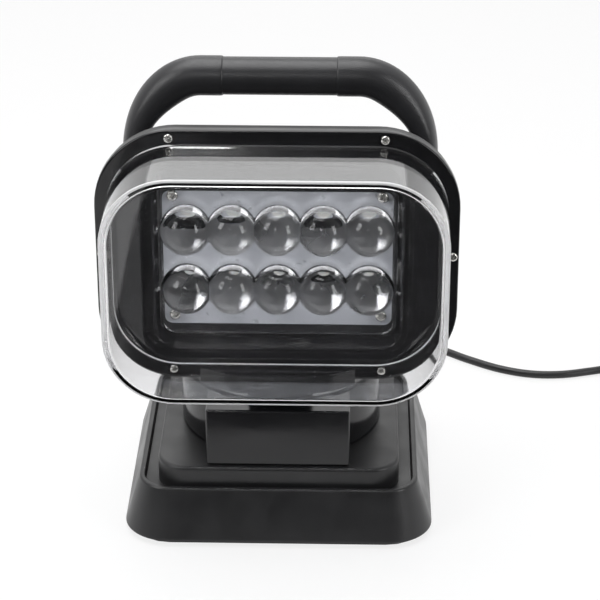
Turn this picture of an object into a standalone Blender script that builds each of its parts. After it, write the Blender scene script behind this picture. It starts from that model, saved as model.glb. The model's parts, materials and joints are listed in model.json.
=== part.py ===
"""A marine searchlight on a motor-driven base. Metres, +Z up, the lamp faces -Y, and the pan axis is Z."""

import math

import bmesh
import bpy

# Clearances
SEAT_GAP = 0.0003
RUNNING_GAP = 0.0003
THREAD_GAP = 0.0003

# Base, from the floor up
FOOT_X = 0.0795
FOOT_Y = 0.075
FOOT_CORNER = 0.024
FOOT_RISE = 0.004
BASE_INSET = 0.008
PAD_THICKNESS = 0.003
PAD_INSET = 0.0045
PLATE_THICKNESS = 0.002
HOUSING_WALL = 0.0026
RIDGE_HEIGHT = 0.030
RIDGE_WIDTH = 0.002
GROOVE_DEPTH = 0.0035
LEDGE_THICKNESS = 0.0024
LEDGE_OPENING_X = 0.056
DECK_X = 0.062
DECK_Y = 0.063
DECK_CORNER = 0.015
DECK_HEIGHT = 0.040
DECK_WALL = 0.0025
DECK_THICKNESS = 0.003
DECK_CHAMFER = 0.0015
MAGNET_RADIUS = 0.024
MAGNET_BORE = 0.004
MAGNET_HEIGHT = 0.006
BOARD_SIZE = (0.028, 0.060, 0.0016)
BOARD_X = -0.053
STANDOFF_HEIGHT = 0.004
STANDOFF_RADIUS = 0.0022
STANDOFF_INSET = 0.004
RELAY_SIZE = (0.012, 0.015, 0.010)
RELAY_PITCH = 0.018
RELAY_OFFSET = 0.005
RELAY_SINK = 0.0005
BASE_SCREW_X = 0.062
BASE_SCREW_Y = 0.058
BASE_BOSS_RADIUS = 0.004

# Screws
SCREW_SHANK = 0.0012
BASE_SCREW_HEAD = 0.0028
BASE_SCREW_LENGTH = 0.012
COVER_SCREW_HEAD = 0.0022
COVER_SCREW_LENGTH = 0.0095
LENS_SCREW_HEAD = 0.0028
LENS_SCREW_LENGTH = 0.0055
HANDLE_SCREW_HEAD = 0.0036
HANDLE_SCREW_SHANK = 0.0018
HANDLE_SCREW_LENGTH = 0.024
HEAD_HEIGHT_SHARE = 0.6

# Gears, both pairs of one module
GEAR_MODULE = 0.00125
PRESSURE_ANGLE = math.radians(20)
ADDENDUM = 0.8
DEDENDUM = 1.1
BACKLASH = 0.00025
PAN_GEAR_TEETH = 44
TILT_GEAR_TEETH = 28
PINION_TEETH = 14
GEAR_THICKNESS = 0.005
MOTOR_SHAFT = 0.0015
PAN_MOTOR_RADIUS = 0.010
TILT_MOTOR_RADIUS = 0.0075
MOTOR_NOSE = 0.004
MOTOR_NOSE_LENGTH = 0.002
MOTOR_BORE_DEPTH = 0.006
MOTOR_EDGE = 0.0008
PINION_SHAFT_SINK = 0.0008
PAN_GEAR_DROP = 0.0035

# Pan bearing and turret
PAN_SHAFT_RADIUS = 0.009
PAN_SHAFT_BORE = 0.005
PAN_NUT_RADIUS = 0.014
PAN_NUT_HEIGHT = 0.0042
BUSH_WALL = 0.004
BUSH_FLANGE_RADIUS = 0.018
BUSH_FLANGE_HEIGHT = 0.0015
TURRET_RADIUS = 0.0525
TURRET_TOP = 0.073
TURRET_WALL = 0.003
TURRET_BOX_X = 0.0365
TURRET_BOX_Y = -0.0605
TURRET_BOX_DROP = 0.0012
TURRET_BOX_EDGE = 0.0006
TURRET_HUB_RADIUS = 0.014
TURRET_EDGE = 0.0015
STEM_X = 0.017
STEM_Y = 0.015
STEM_FOOT_Y = 0.020
STEM_FOOT_HEIGHT = 0.011
STEM_EDGE = 0.0008

# Tilt axis and what turns on it. The head hangs this far above the turret.
HEAD_CLEARANCE = 0.014
AXLE_RADIUS = 0.004
AXLE_END = 0.031
TILT_BUSH_WALL = 0.0022
TILT_BUSH_FLANGE = 0.0085
TILT_BUSH_FLANGE_THICKNESS = 0.0012
BRACKET_X = 0.0267
BRACKET_THICKNESS = 0.0025
BRACKET_EAR = 0.012
BRACKET_FOOT_WIDTH = 0.0045
BRACKET_FOOT_HALF_HEIGHT = 0.016
SPACER_RADIUS = 0.007

# Head, measured from the tilt axis
FLANGE_X = 0.089
FLANGE_Z = 0.067
FLANGE_CORNER = 0.040
FLANGE_FRONT = -0.055
FLANGE_THICKNESS = 0.0047
FLANGE_CHAMFER = 0.001
BEZEL_CENTRE_Z = -0.002
RIDGE_X = 0.067
RIDGE_Z = 0.053
RIDGE_PROUD = 0.001
STEP_X = 0.062
STEP_Z = 0.050
WINDOW_X = 0.0596
WINDOW_Z = 0.045
WINDOW_DEPTH = 0.010
LEDGE_INSET = 0.0038
TUB_WALL = 0.003
LENS_THICKNESS = 0.0025
LEDGE_BACK = 0.0024
GUSSET_X = 0.0465
GUSSET_Z = 0.0263
GUSSET_DEPTH = 0.0015
CHIN_X = 0.039
CHIN_REACH = 0.013
CHIN_LOW = -0.070
CHIN_HIGH = -0.0605
GASKET_THICKNESS = 0.001
GASKET_INSET = 0.0046
SHELL_FLANGE_INSET = 0.001
SHELL_FLANGE_THICKNESS = 0.0047
SHELL_WALL = 0.0025
COLLAR_X = 0.0725
COLLAR_Z = 0.0600
COLLAR_BACK = -0.0352
BOWL_X = 0.056
BOWL_Z = 0.050
BOWL_FRONT = -0.046
BOWL_TAIL = 0.02825
BOWL_EDGE = 0.004
SLOT_X = 0.020
SLOT_FRONT = -0.027
SLOT_TOP = 0.0175
HANDLE_BOSS_RADIUS = 0.009

# Clear cover
COVER_X = 0.0834
COVER_Z = 0.0594
COVER_CENTRE_Z = 0.0006
COVER_CORNER = 0.035
COVER_FRONT = -0.099
COVER_WALL = 0.0025
COVER_DRAFT = 0.0006
COVER_EDGE = 0.002

# Lens array, board and heat sink
LENS_RADIUS = 0.0127
LENS_PITCH_X = 0.0225
LENS_PITCH_Z = 0.032
LENS_COLUMNS = 5
LENS_CENTRE_Z = -0.0027
LENS_CENTRE_Y = -0.050
LENS_BACK_Y = -0.040
LENS_SCREW_X = 0.0515
LENS_SCREW_Z = 0.03225
BOARD_X_HALF = 0.050
BOARD_Z_HALF = 0.028
LED_BOARD_THICKNESS = 0.0018
LED_SIZE = 0.005
LED_HEIGHT = 0.0015
SINK_THICKNESS = 0.003
FIN_COUNT = 5
FIN_PITCH = 0.004
FIN_THICKNESS = 0.0012
FIN_EDGE = 0.001
FIN_LENGTH = 0.018

# Handle
HANDLE_X = 0.0695
HANDLE_TOP = 0.0748
HANDLE_RADIUS = 0.010
HANDLE_BEND_X = 0.030
HANDLE_BEND_Z = 0.040
HANDLE_FOOT = -0.012
GRIP_HALF = 0.0285
GRIP_SHARE = 0.95

# Supply cord and its plug, on the floor
CORD_RADIUS = 0.00225
GLAND_X = 0.020
GLAND_Z = 0.0135
GLAND_RADIUS = 0.005
GLAND_FLANGE = 0.007
GLAND_LENGTH = 0.020
GLAND_HOLE_DEPTH = 0.030
CORD_ROUTE = (
    (0.0200, 0.0925, 0.0135),
    (0.0205, 0.1040, 0.0124),
    (0.0230, 0.1180, 0.0074),
    (0.0290, 0.1320, 0.00330),
    (0.0400, 0.1450, 0.00235),
    (0.0550, 0.1530, 0.00230),
    (0.0720, 0.1540, 0.00230),
    (0.0860, 0.1490, 0.00230),
    (0.0960, 0.1420, 0.00230),
    (0.1060, 0.1340, 0.00230),
    (0.1240, 0.1222, 0.00230),
    (0.1420, 0.1158, 0.00230),
    (0.1600, 0.1155, 0.00230),
    (0.1780, 0.1202, 0.00230),
    (0.1960, 0.1243, 0.00300),
    (0.2142, 0.1250, 0.00480),
)
COIL_CENTRE = (0.240, 0.100)
COIL_RADIUS = 0.025
COIL_HALF_WIDTH = 0.009
COIL_HEIGHT = 0.018
PLUG_RADIUS = 0.011
PLUG_NOSE_RADIUS = 0.0103
PLUG_TIP_RADIUS = 0.004
PLUG_RELIEF_LENGTH = 0.012
PLUG_GRIP_LENGTH = 0.034
PLUG_NOSE_LENGTH = 0.028
PLUG_TIP_LENGTH = 0.008
PLUG_TAIL = 0.010
CONTACT_SIZE = (0.0012, 0.014, 0.005)

CORNER_STEPS = 5
ROUND_STEPS = 24
TURRET_STEPS = 40
SCREW_STEPS = 8

# Values worked out from the ones above
PLATE_BOTTOM = PAD_THICKNESS + SEAT_GAP
PLATE_TOP = PLATE_BOTTOM + PLATE_THICKNESS
BASE_FLOOR = PLATE_TOP + SEAT_GAP
LEDGE_TOP = RIDGE_HEIGHT - GROOVE_DEPTH
LEDGE_BOTTOM = LEDGE_TOP - LEDGE_THICKNESS
DECK_UNDERSIDE = DECK_HEIGHT - DECK_THICKNESS
TURRET_BOTTOM = DECK_HEIGHT + SEAT_GAP
TILT_HEIGHT = TURRET_TOP + FLANGE_Z + HEAD_CLEARANCE
FLANGE_BACK = FLANGE_FRONT + FLANGE_THICKNESS
LENS_PLATE_BACK = FLANGE_FRONT + WINDOW_DEPTH + LENS_THICKNESS
LENS_PLATE_FRONT = FLANGE_FRONT + WINDOW_DEPTH
LEDGE_FRONT_Y = LENS_PLATE_BACK + SEAT_GAP
LEDGE_BACK_Y = LEDGE_FRONT_Y + LEDGE_BACK
GUSSET_BACK_Y = LEDGE_BACK_Y + GUSSET_DEPTH
LED_BOARD_FRONT = GUSSET_BACK_Y + SEAT_GAP
GASKET_FRONT = FLANGE_BACK + SEAT_GAP
SHELL_FRONT = GASKET_FRONT + GASKET_THICKNESS + SEAT_GAP
SINK_FRONT = LED_BOARD_FRONT + LED_BOARD_THICKNESS + SEAT_GAP
SINK_BACK = SINK_FRONT + SINK_THICKNESS
PINION_PITCH = GEAR_MODULE * PINION_TEETH / 2
PAN_CENTRES = GEAR_MODULE * PAN_GEAR_TEETH / 2 + PINION_PITCH
TILT_CENTRES = GEAR_MODULE * TILT_GEAR_TEETH / 2 + PINION_PITCH
PINION_TIP = PINION_PITCH + ADDENDUM * GEAR_MODULE
PAN_GEAR_TOP = DECK_UNDERSIDE - PAN_GEAR_DROP
PAN_GEAR_BOTTOM = PAN_GEAR_TOP - GEAR_THICKNESS
TILT_GEAR_X = STEM_X + SEAT_GAP + GEAR_THICKNESS / 2
BOWL_DEPTH = PINION_TIP + BOWL_TAIL - BOWL_FRONT
THROUGH = 0.3

COVER_SCREWS = (
    (-0.052, 0.063),
    (0.052, 0.063),
    (-0.052, -0.0616),
    (0.052, -0.0616),
    (-0.086, 0.002),
    (0.086, 0.002),
)


def clear_scene():
    for obj in list(bpy.data.objects):
        bpy.data.objects.remove(obj, do_unlink=True)


def new_collection(name, hidden=False):
    collection = bpy.data.collections.new(name)
    bpy.context.scene.collection.children.link(collection)
    collection.hide_render = hidden
    return collection


clear_scene()
PARTS = new_collection("marine_searchlight")
HELPERS = new_collection("cutters_and_unions", hidden=True)


def material(name, colour, roughness, metallic=0.0):
    made = bpy.data.materials.new(name)
    made.use_nodes = True
    shader = made.node_tree.nodes["Principled BSDF"]
    shader.inputs["Base Color"].default_value = (*colour, 1.0)
    shader.inputs["Roughness"].default_value = roughness
    shader.inputs["Metallic"].default_value = metallic
    made.diffuse_color = (*colour, 1.0)
    return made


GLOSS_BLACK = material("gloss_black_plastic", (0.012, 0.012, 0.014), 0.18)
SATIN_BLACK = material("satin_black_plastic", (0.016, 0.016, 0.018), 0.42)
CLEAR = material("clear_plastic", (0.86, 0.88, 0.92), 0.04)
RUBBER = material("black_rubber", (0.02, 0.02, 0.02), 0.8)
STEEL = material("plated_steel", (0.6, 0.6, 0.6), 0.3, 1.0)
ALUMINIUM = material("aluminium", (0.7, 0.71, 0.73), 0.4, 1.0)
NYLON = material("white_nylon", (0.75, 0.74, 0.7), 0.5)
BOARD_GREEN = material("green_board", (0.02, 0.12, 0.05), 0.5)


def empty(name, location, parent=None):
    """An axis that moving pieces hang on."""
    made = bpy.data.objects.new(name, None)
    made.location = location
    made.parent = parent
    PARTS.objects.link(made)
    return made


def helper(obj):
    """Keeps an object that only cuts or joins out of the part."""
    obj.hide_render = True
    obj.display_type = "WIRE"
    HELPERS.objects.link(obj)
    return obj


def finish(obj, look, parent=None):
    """Links a sub-part, with its material, parent and smooth shading."""
    obj.data.materials.clear()
    obj.data.materials.append(look)
    if obj.name in HELPERS.objects:
        HELPERS.objects.unlink(obj)
    obj.hide_render = False
    obj.display_type = "TEXTURED"
    PARTS.objects.link(obj)
    obj.parent = parent
    if obj.type == "MESH":
        obj.data.shade_smooth()
        obj.data.set_sharp_from_angle(angle=math.radians(35))
    return obj


def carry_helpers(obj, parent):
    """Hangs the cutters and unions of a piece on its axis, so that they move with it."""
    for modifier in obj.modifiers:
        modifier.object.parent = parent


def from_bmesh(name, bm):
    mesh = bpy.data.meshes.new(name)
    bmesh.ops.recalc_face_normals(bm, faces=bm.faces)
    bm.to_mesh(mesh)
    bm.free()
    return helper(bpy.data.objects.new(name, mesh))


def box(name, size, centre=(0, 0, 0), bevel=0.0):
    bm = bmesh.new()
    bmesh.ops.create_cube(bm, size=1.0)
    bmesh.ops.scale(bm, vec=size, verts=bm.verts)
    made = from_bmesh(name, bm)
    made.location = centre
    if bevel:
        add_bevel(made, bevel)
    return made


def add_bevel(obj, width, segments=2):
    modifier = obj.modifiers.new("round_edges", "BEVEL")
    modifier.width = width
    modifier.segments = segments
    modifier.limit_method = "ANGLE"
    modifier.angle_limit = math.radians(50)


AXIS_TURN = {"X": (0, math.pi / 2, 0), "FRONT": (math.pi / 2, 0, 0), "Z": (0, 0, 0)}


def cylinder(name, radius, depth, centre, axis="Z", steps=ROUND_STEPS):
    bm = bmesh.new()
    bmesh.ops.create_cone(
        bm, cap_ends=True, segments=steps, radius1=radius, radius2=radius, depth=depth
    )
    made = from_bmesh(name, bm)
    made.location = centre
    made.rotation_euler = AXIS_TURN[axis]
    return made


def turned(name, profile, centre=(0, 0, 0), axis="Z", steps=ROUND_STEPS, closed=False):
    """Turns a profile of (radius, height) points, which run down the outer side."""
    mesh = bpy.data.meshes.new(name)
    points = [(radius, 0, height) for radius, height in profile]
    edges = [(i, i + 1) for i in range(len(points) - 1)]
    if closed:
        edges.append((len(points) - 1, 0))
    mesh.from_pydata(points, edges, [])
    made = bpy.data.objects.new(name, mesh)
    modifier = made.modifiers.new("turn", "SCREW")
    modifier.axis = "Z"
    modifier.steps = steps
    modifier.render_steps = steps
    modifier.use_merge_vertices = True
    modifier.merge_threshold = 0.00001
    made.location = centre
    made.rotation_euler = AXIS_TURN[axis]
    return helper(made)


def meshed(obj):
    """Makes a mesh object of a curve object, with its caps welded to its sides."""
    bpy.context.view_layer.update()
    graph = bpy.context.evaluated_depsgraph_get()
    mesh = bpy.data.meshes.new_from_object(obj.evaluated_get(graph))
    bm = bmesh.new()
    bm.from_mesh(mesh)
    bmesh.ops.remove_doubles(bm, verts=bm.verts, dist=0.000001)
    bmesh.ops.recalc_face_normals(bm, faces=bm.faces)
    bm.to_mesh(mesh)
    bm.free()
    name = obj.name
    place = obj.matrix_world.copy()
    bpy.data.objects.remove(obj, do_unlink=True)
    made = bpy.data.objects.new(name, mesh)
    made.matrix_world = place
    return helper(made)


def plate(name, outlines, thickness, centre=(0, 0, 0), axis="Z"):
    """Extrudes a flat outline, and any holes that follow it, about its middle plane."""
    curve = bpy.data.curves.new(name, "CURVE")
    curve.dimensions = "2D"
    curve.fill_mode = "BOTH"
    curve.extrude = thickness / 2
    for outline in outlines:
        spline = curve.splines.new("POLY")
        spline.points.add(len(outline) - 1)
        for point, (x, y) in zip(spline.points, outline):
            point.co = (x, y, 0, 1)
        spline.use_cyclic_u = True
    made = meshed(helper(bpy.data.objects.new(name, curve)))
    made.location = centre
    made.rotation_euler = AXIS_TURN[axis]
    return made


def side_outline(points):
    """Turns (y, z) points into the plane of a plate whose thickness lies along X."""
    return [(-z, y) for y, z in points]


def combine(obj, other, operation):
    modifier = obj.modifiers.new(other.name, "BOOLEAN")
    modifier.operation = operation
    modifier.solver = "EXACT"
    modifier.object = other
    other.parent = obj.parent


def cut(obj, *others):
    for other in others:
        combine(obj, other, "DIFFERENCE")


def join(obj, *others):
    for other in others:
        combine(obj, other, "UNION")


def applied(obj):
    """Fixes the modifiers of a helper into its mesh, so that it can be cut or joined again."""
    bpy.context.view_layer.update()
    graph = bpy.context.evaluated_depsgraph_get()
    mesh = bpy.data.meshes.new_from_object(obj.evaluated_get(graph))
    obj.modifiers.clear()
    obj.data = mesh
    return obj


def circle(radius, steps=ROUND_STEPS, centre=(0, 0)):
    turn = 2 * math.pi / steps
    return [
        (centre[0] + radius * math.cos(turn * i), centre[1] + radius * math.sin(turn * i))
        for i in range(steps)
    ]


def rounded_rectangle(half_u, half_v, radius):
    points = []
    for corner, (side_u, side_v) in enumerate(((1, 1), (-1, 1), (-1, -1), (1, -1))):
        for step in range(CORNER_STEPS + 1):
            angle = math.radians(90 * (corner + step / CORNER_STEPS))
            points.append(
                (
                    side_u * (half_u - radius) + radius * math.cos(angle),
                    side_v * (half_v - radius) + radius * math.sin(angle),
                )
            )
    return points


def floor_section(half_x, half_y, radius, z):
    return [(x, y, z) for x, y in rounded_rectangle(half_x, half_y, radius)]


def front_section(half_x, half_z, radius, y, centre_z=0.0):
    return [(x, y, centre_z + z) for x, z in rounded_rectangle(half_x, half_z, radius)]


def loft(name, sections, ring=False):
    """Skins like-counted sections, with caps at both ends, or closed on itself as a ring."""
    bm = bmesh.new()
    rows = [[bm.verts.new(point) for point in section] for section in sections]
    pairs = list(zip(rows, rows[1:]))
    if ring:
        pairs.append((rows[-1], rows[0]))
    for first, second in pairs:
        for i in range(len(first)):
            j = (i + 1) % len(first)
            bm.faces.new((first[i], first[j], second[j], second[i]))
    if not ring:
        bm.faces.new(rows[0])
        bm.faces.new(rows[-1])
    return from_bmesh(name, bm)


def gear_outline(teeth, phase=0.0):
    """Involute teeth with straight roots, thinned by the backlash."""
    pitch = GEAR_MODULE * teeth / 2
    base = pitch * math.cos(PRESSURE_ANGLE)
    tip = pitch + ADDENDUM * GEAR_MODULE
    root = pitch - DEDENDUM * GEAR_MODULE
    start = max(base, root) * 1.0005
    radii = [start, tip]
    at_pitch = math.pi / (2 * teeth) - BACKLASH / (2 * pitch)
    involute_at_pitch = math.tan(PRESSURE_ANGLE) - PRESSURE_ANGLE

    def half_angle(radius):
        pressure = math.acos(base / radius)
        return at_pitch + involute_at_pitch - (math.tan(pressure) - pressure)

    points = []
    for tooth in range(teeth):
        middle = phase + 2 * math.pi * tooth / teeth
        flank = [(root, half_angle(start))] + [(r, half_angle(r)) for r in radii]
        for r, half in flank:
            points.append((r * math.cos(middle - half), r * math.sin(middle - half)))
        for r, half in reversed(flank):
            points.append((r * math.cos(middle + half), r * math.sin(middle + half)))
    return points


def screw(name, head, shank, length, centre, axis, look, parent):
    """A pan-head screw whose head seats at the given point. Its shank runs down from there."""
    height = head * HEAD_HEIGHT_SHARE
    profile = [
        (0, height),
        (head * 0.7, height * 0.8),
        (head, height * 0.3),
        (head, 0),
        (shank, 0),
        (shank, -length + shank),
        (0, -length),
    ]
    return finish(turned(name, profile, centre, axis, SCREW_STEPS), look, parent)


def base_half(z):
    """How far in the sloped wall of the base lies at a height, from the foot's edge."""
    rise = (z - FOOT_RISE) / (RIDGE_HEIGHT - FOOT_RISE)
    return BASE_INSET * min(max(rise, 0), 1)


def build_base():
    hole = SCREW_SHANK + THREAD_GAP
    places = [(x, y) for x in (-BASE_SCREW_X, BASE_SCREW_X) for y in (-BASE_SCREW_Y, BASE_SCREW_Y)]

    def wall(z, inset=0.0):
        inwards = base_half(z) + inset
        return floor_section(FOOT_X - inwards, FOOT_Y - inwards, FOOT_CORNER - inwards, z)

    ridge_inner = RIDGE_WIDTH + 0.0005
    ledge_x = LEDGE_OPENING_X
    ledge_y = LEDGE_OPENING_X + DECK_Y - DECK_X
    housing = loft(
        "base_housing",
        [
            wall(PLATE_BOTTOM),
            wall(FOOT_RISE),
            wall(RIDGE_HEIGHT - 0.0008),
            wall(RIDGE_HEIGHT, 0.0008),
            wall(RIDGE_HEIGHT, ridge_inner),
            wall(LEDGE_TOP, RIDGE_WIDTH * 2),
            floor_section(ledge_x, ledge_y, DECK_CORNER, LEDGE_TOP),
            floor_section(ledge_x, ledge_y, DECK_CORNER, LEDGE_BOTTOM),
            wall(LEDGE_BOTTOM, HOUSING_WALL),
            wall(FOOT_RISE, HOUSING_WALL),
            wall(PLATE_BOTTOM, HOUSING_WALL),
        ],
        ring=True,
    )
    boss_height = LEDGE_BOTTOM + LEDGE_THICKNESS / 2 - BASE_FLOOR
    for number, (x, y) in enumerate(places, 1):
        middle = (x, y, BASE_FLOOR + boss_height / 2)
        boss = cylinder(f"boss_{number}", BASE_BOSS_RADIUS, boss_height, middle, steps=16)
        join(housing, boss)
    gland_hole = cylinder(
        "gland_hole",
        GLAND_RADIUS + SEAT_GAP,
        GLAND_HOLE_DEPTH,
        (GLAND_X, FOOT_Y, GLAND_Z),
        "FRONT",
        20,
    )
    cut(housing, gland_hole)
    pilots = []
    for number, (x, y) in enumerate(places, 1):
        top = BASE_SCREW_LENGTH + PLATE_BOTTOM + SEAT_GAP
        pilots.append(cylinder(f"pilot_{number}", hole, 2 * top, (x, y, 0), steps=SCREW_STEPS))
    cut(housing, *pilots)
    finish(housing, SATIN_BLACK)

    inset = HOUSING_WALL + SEAT_GAP + base_half(PLATE_TOP)
    bottom_plate = loft(
        "base_plate",
        [
            floor_section(FOOT_X - inset, FOOT_Y - inset, FOOT_CORNER - inset, PLATE_BOTTOM),
            floor_section(FOOT_X - inset, FOOT_Y - inset, FOOT_CORNER - inset, PLATE_TOP),
        ],
    )
    board_bottom = BASE_FLOOR + STANDOFF_HEIGHT + SEAT_GAP
    reach_x = BOARD_SIZE[0] / 2 - STANDOFF_INSET
    reach_y = BOARD_SIZE[1] / 2 - STANDOFF_INSET
    corners = [(BOARD_X + sx * reach_x, sy * reach_y) for sx in (-1, 1) for sy in (-1, 1)]
    for number, (x, y) in enumerate(corners, 1):
        depth = BASE_FLOOR + STANDOFF_HEIGHT - PLATE_BOTTOM
        middle = (x, y, PLATE_BOTTOM + PLATE_THICKNESS / 2 + (depth - PLATE_THICKNESS / 2) / 2)
        post = cylinder(
            f"standoff_{number}", STANDOFF_RADIUS, depth - PLATE_THICKNESS / 2, middle, steps=12
        )
        join(bottom_plate, post)
    for number, (x, y) in enumerate(places, 1):
        cut(bottom_plate, cylinder(f"plate_hole_{number}", hole, 0.02, (x, y, 0), steps=SCREW_STEPS))
    finish(bottom_plate, STEEL)

    pad_x = FOOT_X - PAD_INSET
    pad_y = FOOT_Y - PAD_INSET
    pad_holes = [circle(BASE_SCREW_HEAD + SEAT_GAP, 12, place) for place in places]
    outline = rounded_rectangle(pad_x, pad_y, FOOT_CORNER - PAD_INSET)
    pad = plate("rubber_pad", [outline, *pad_holes], PAD_THICKNESS, (0, 0, PAD_THICKNESS / 2))
    finish(pad, RUBBER)
    for number, (x, y) in enumerate(places, 1):
        piece = screw(
            f"base_screw_{number}",
            BASE_SCREW_HEAD,
            SCREW_SHANK,
            BASE_SCREW_LENGTH,
            (x, y, PLATE_BOTTOM - SEAT_GAP),
            "Z",
            STEEL,
            None,
        )
        piece.rotation_euler = (math.pi, 0, 0)

    ring = [
        (MAGNET_BORE, MAGNET_HEIGHT),
        (MAGNET_RADIUS, MAGNET_HEIGHT),
        (MAGNET_RADIUS, 0),
        (MAGNET_BORE, 0),
    ]
    finish(turned("magnet", ring, (0, 0, BASE_FLOOR), closed=True), STEEL)

    board = box("control_board", BOARD_SIZE, (BOARD_X, 0, board_bottom + BOARD_SIZE[2] / 2))
    relay_middle = board_bottom + BOARD_SIZE[2] + RELAY_SIZE[2] / 2 - RELAY_SINK
    for number in range(-1, 2):
        middle = (BOARD_X + RELAY_OFFSET, number * RELAY_PITCH, relay_middle)
        join(board, box(f"relay_{number + 2}", RELAY_SIZE, middle))
    finish(board, BOARD_GREEN)
    build_deck()
    build_pan_drive()
    build_gland()


def build_deck():
    def section(z, inset=0.0):
        return floor_section(DECK_X - inset, DECK_Y - inset, DECK_CORNER - inset, z)

    deck = loft(
        "deck",
        [
            section(LEDGE_TOP + SEAT_GAP),
            section(DECK_HEIGHT - DECK_CHAMFER),
            section(DECK_HEIGHT - DECK_CHAMFER * 0.3, DECK_CHAMFER * 0.3),
            section(DECK_HEIGHT, DECK_CHAMFER),
        ],
    )
    hollow = loft("deck_hollow", [section(0, DECK_WALL), section(DECK_UNDERSIDE, DECK_WALL)])
    bore = PAN_SHAFT_RADIUS + RUNNING_GAP + BUSH_WALL + SEAT_GAP
    cut(deck, hollow, cylinder("deck_bore", bore, 4 * DECK_THICKNESS, (0, 0, DECK_HEIGHT)))
    finish(deck, SATIN_BLACK)


def motor_profile(radius, length):
    """A gear motor with a nose, and a blind bore in the nose for its pinion's shaft."""
    bore = MOTOR_SHAFT + RUNNING_GAP
    end = length - MOTOR_NOSE_LENGTH
    return [
        (0, length - MOTOR_BORE_DEPTH),
        (bore, length - MOTOR_BORE_DEPTH),
        (bore, length),
        (MOTOR_NOSE, length),
        (MOTOR_NOSE, end),
        (radius - MOTOR_EDGE, end),
        (radius, end - MOTOR_EDGE),
        (radius, 0),
        (0, 0),
    ]


def pinion(name, parent, centre, axis):
    """A pinion with its motor shaft below it."""
    gear = plate(name, [gear_outline(PINION_TEETH, math.pi / PINION_TEETH)], GEAR_THICKNESS)
    length = MOTOR_BORE_DEPTH
    drop = GEAR_THICKNESS / 2 + length / 2 - PINION_SHAFT_SINK
    join(gear, cylinder(f"{name}_shaft", MOTOR_SHAFT, length, (0, 0, -drop), steps=12))
    gear = applied(gear)
    gear.location = centre
    gear.rotation_euler = AXIS_TURN[axis]
    return finish(gear, STEEL, parent)


def build_pan_drive():
    length = PAN_GEAR_BOTTOM - SEAT_GAP - BASE_FLOOR
    profile = motor_profile(PAN_MOTOR_RADIUS, length)
    finish(turned("pan_motor", profile, (PAN_CENTRES, 0, BASE_FLOOR), steps=24), STEEL)
    pinion_axis = empty("pan_pinion_axis", (PAN_CENTRES, 0, PAN_GEAR_BOTTOM + GEAR_THICKNESS / 2))
    pinion("pan_pinion", pinion_axis, (0, 0, 0), "Z")
    inner = PAN_SHAFT_RADIUS + RUNNING_GAP
    outer = inner + BUSH_WALL
    flange_top = TURRET_BOTTOM + BUSH_FLANGE_HEIGHT
    bush = [
        (inner, flange_top),
        (BUSH_FLANGE_RADIUS, flange_top),
        (BUSH_FLANGE_RADIUS, DECK_HEIGHT + SEAT_GAP),
        (outer, DECK_HEIGHT + SEAT_GAP),
        (outer, DECK_UNDERSIDE),
        (inner, DECK_UNDERSIDE),
    ]
    finish(turned("pan_bush", bush, closed=True), NYLON)


def build_gland():
    wall_y = FOOT_Y - base_half(GLAND_Z)
    outside = [
        (0, GLAND_LENGTH),
        (CORD_RADIUS + 0.0009, GLAND_LENGTH),
        (GLAND_RADIUS - 0.0006, 0.003),
        (GLAND_RADIUS, 0.002),
        (GLAND_RADIUS, -HOUSING_WALL - 0.003),
        (GLAND_FLANGE, -HOUSING_WALL - 0.003),
        (GLAND_FLANGE, -HOUSING_WALL - 0.006),
        (0, -HOUSING_WALL - 0.006),
    ]
    gland = turned("cable_gland", outside, (GLAND_X, wall_y, GLAND_Z), "FRONT", 20)
    gland.rotation_euler = (-math.pi / 2, 0, 0)
    finish(gland, RUBBER)


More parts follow.
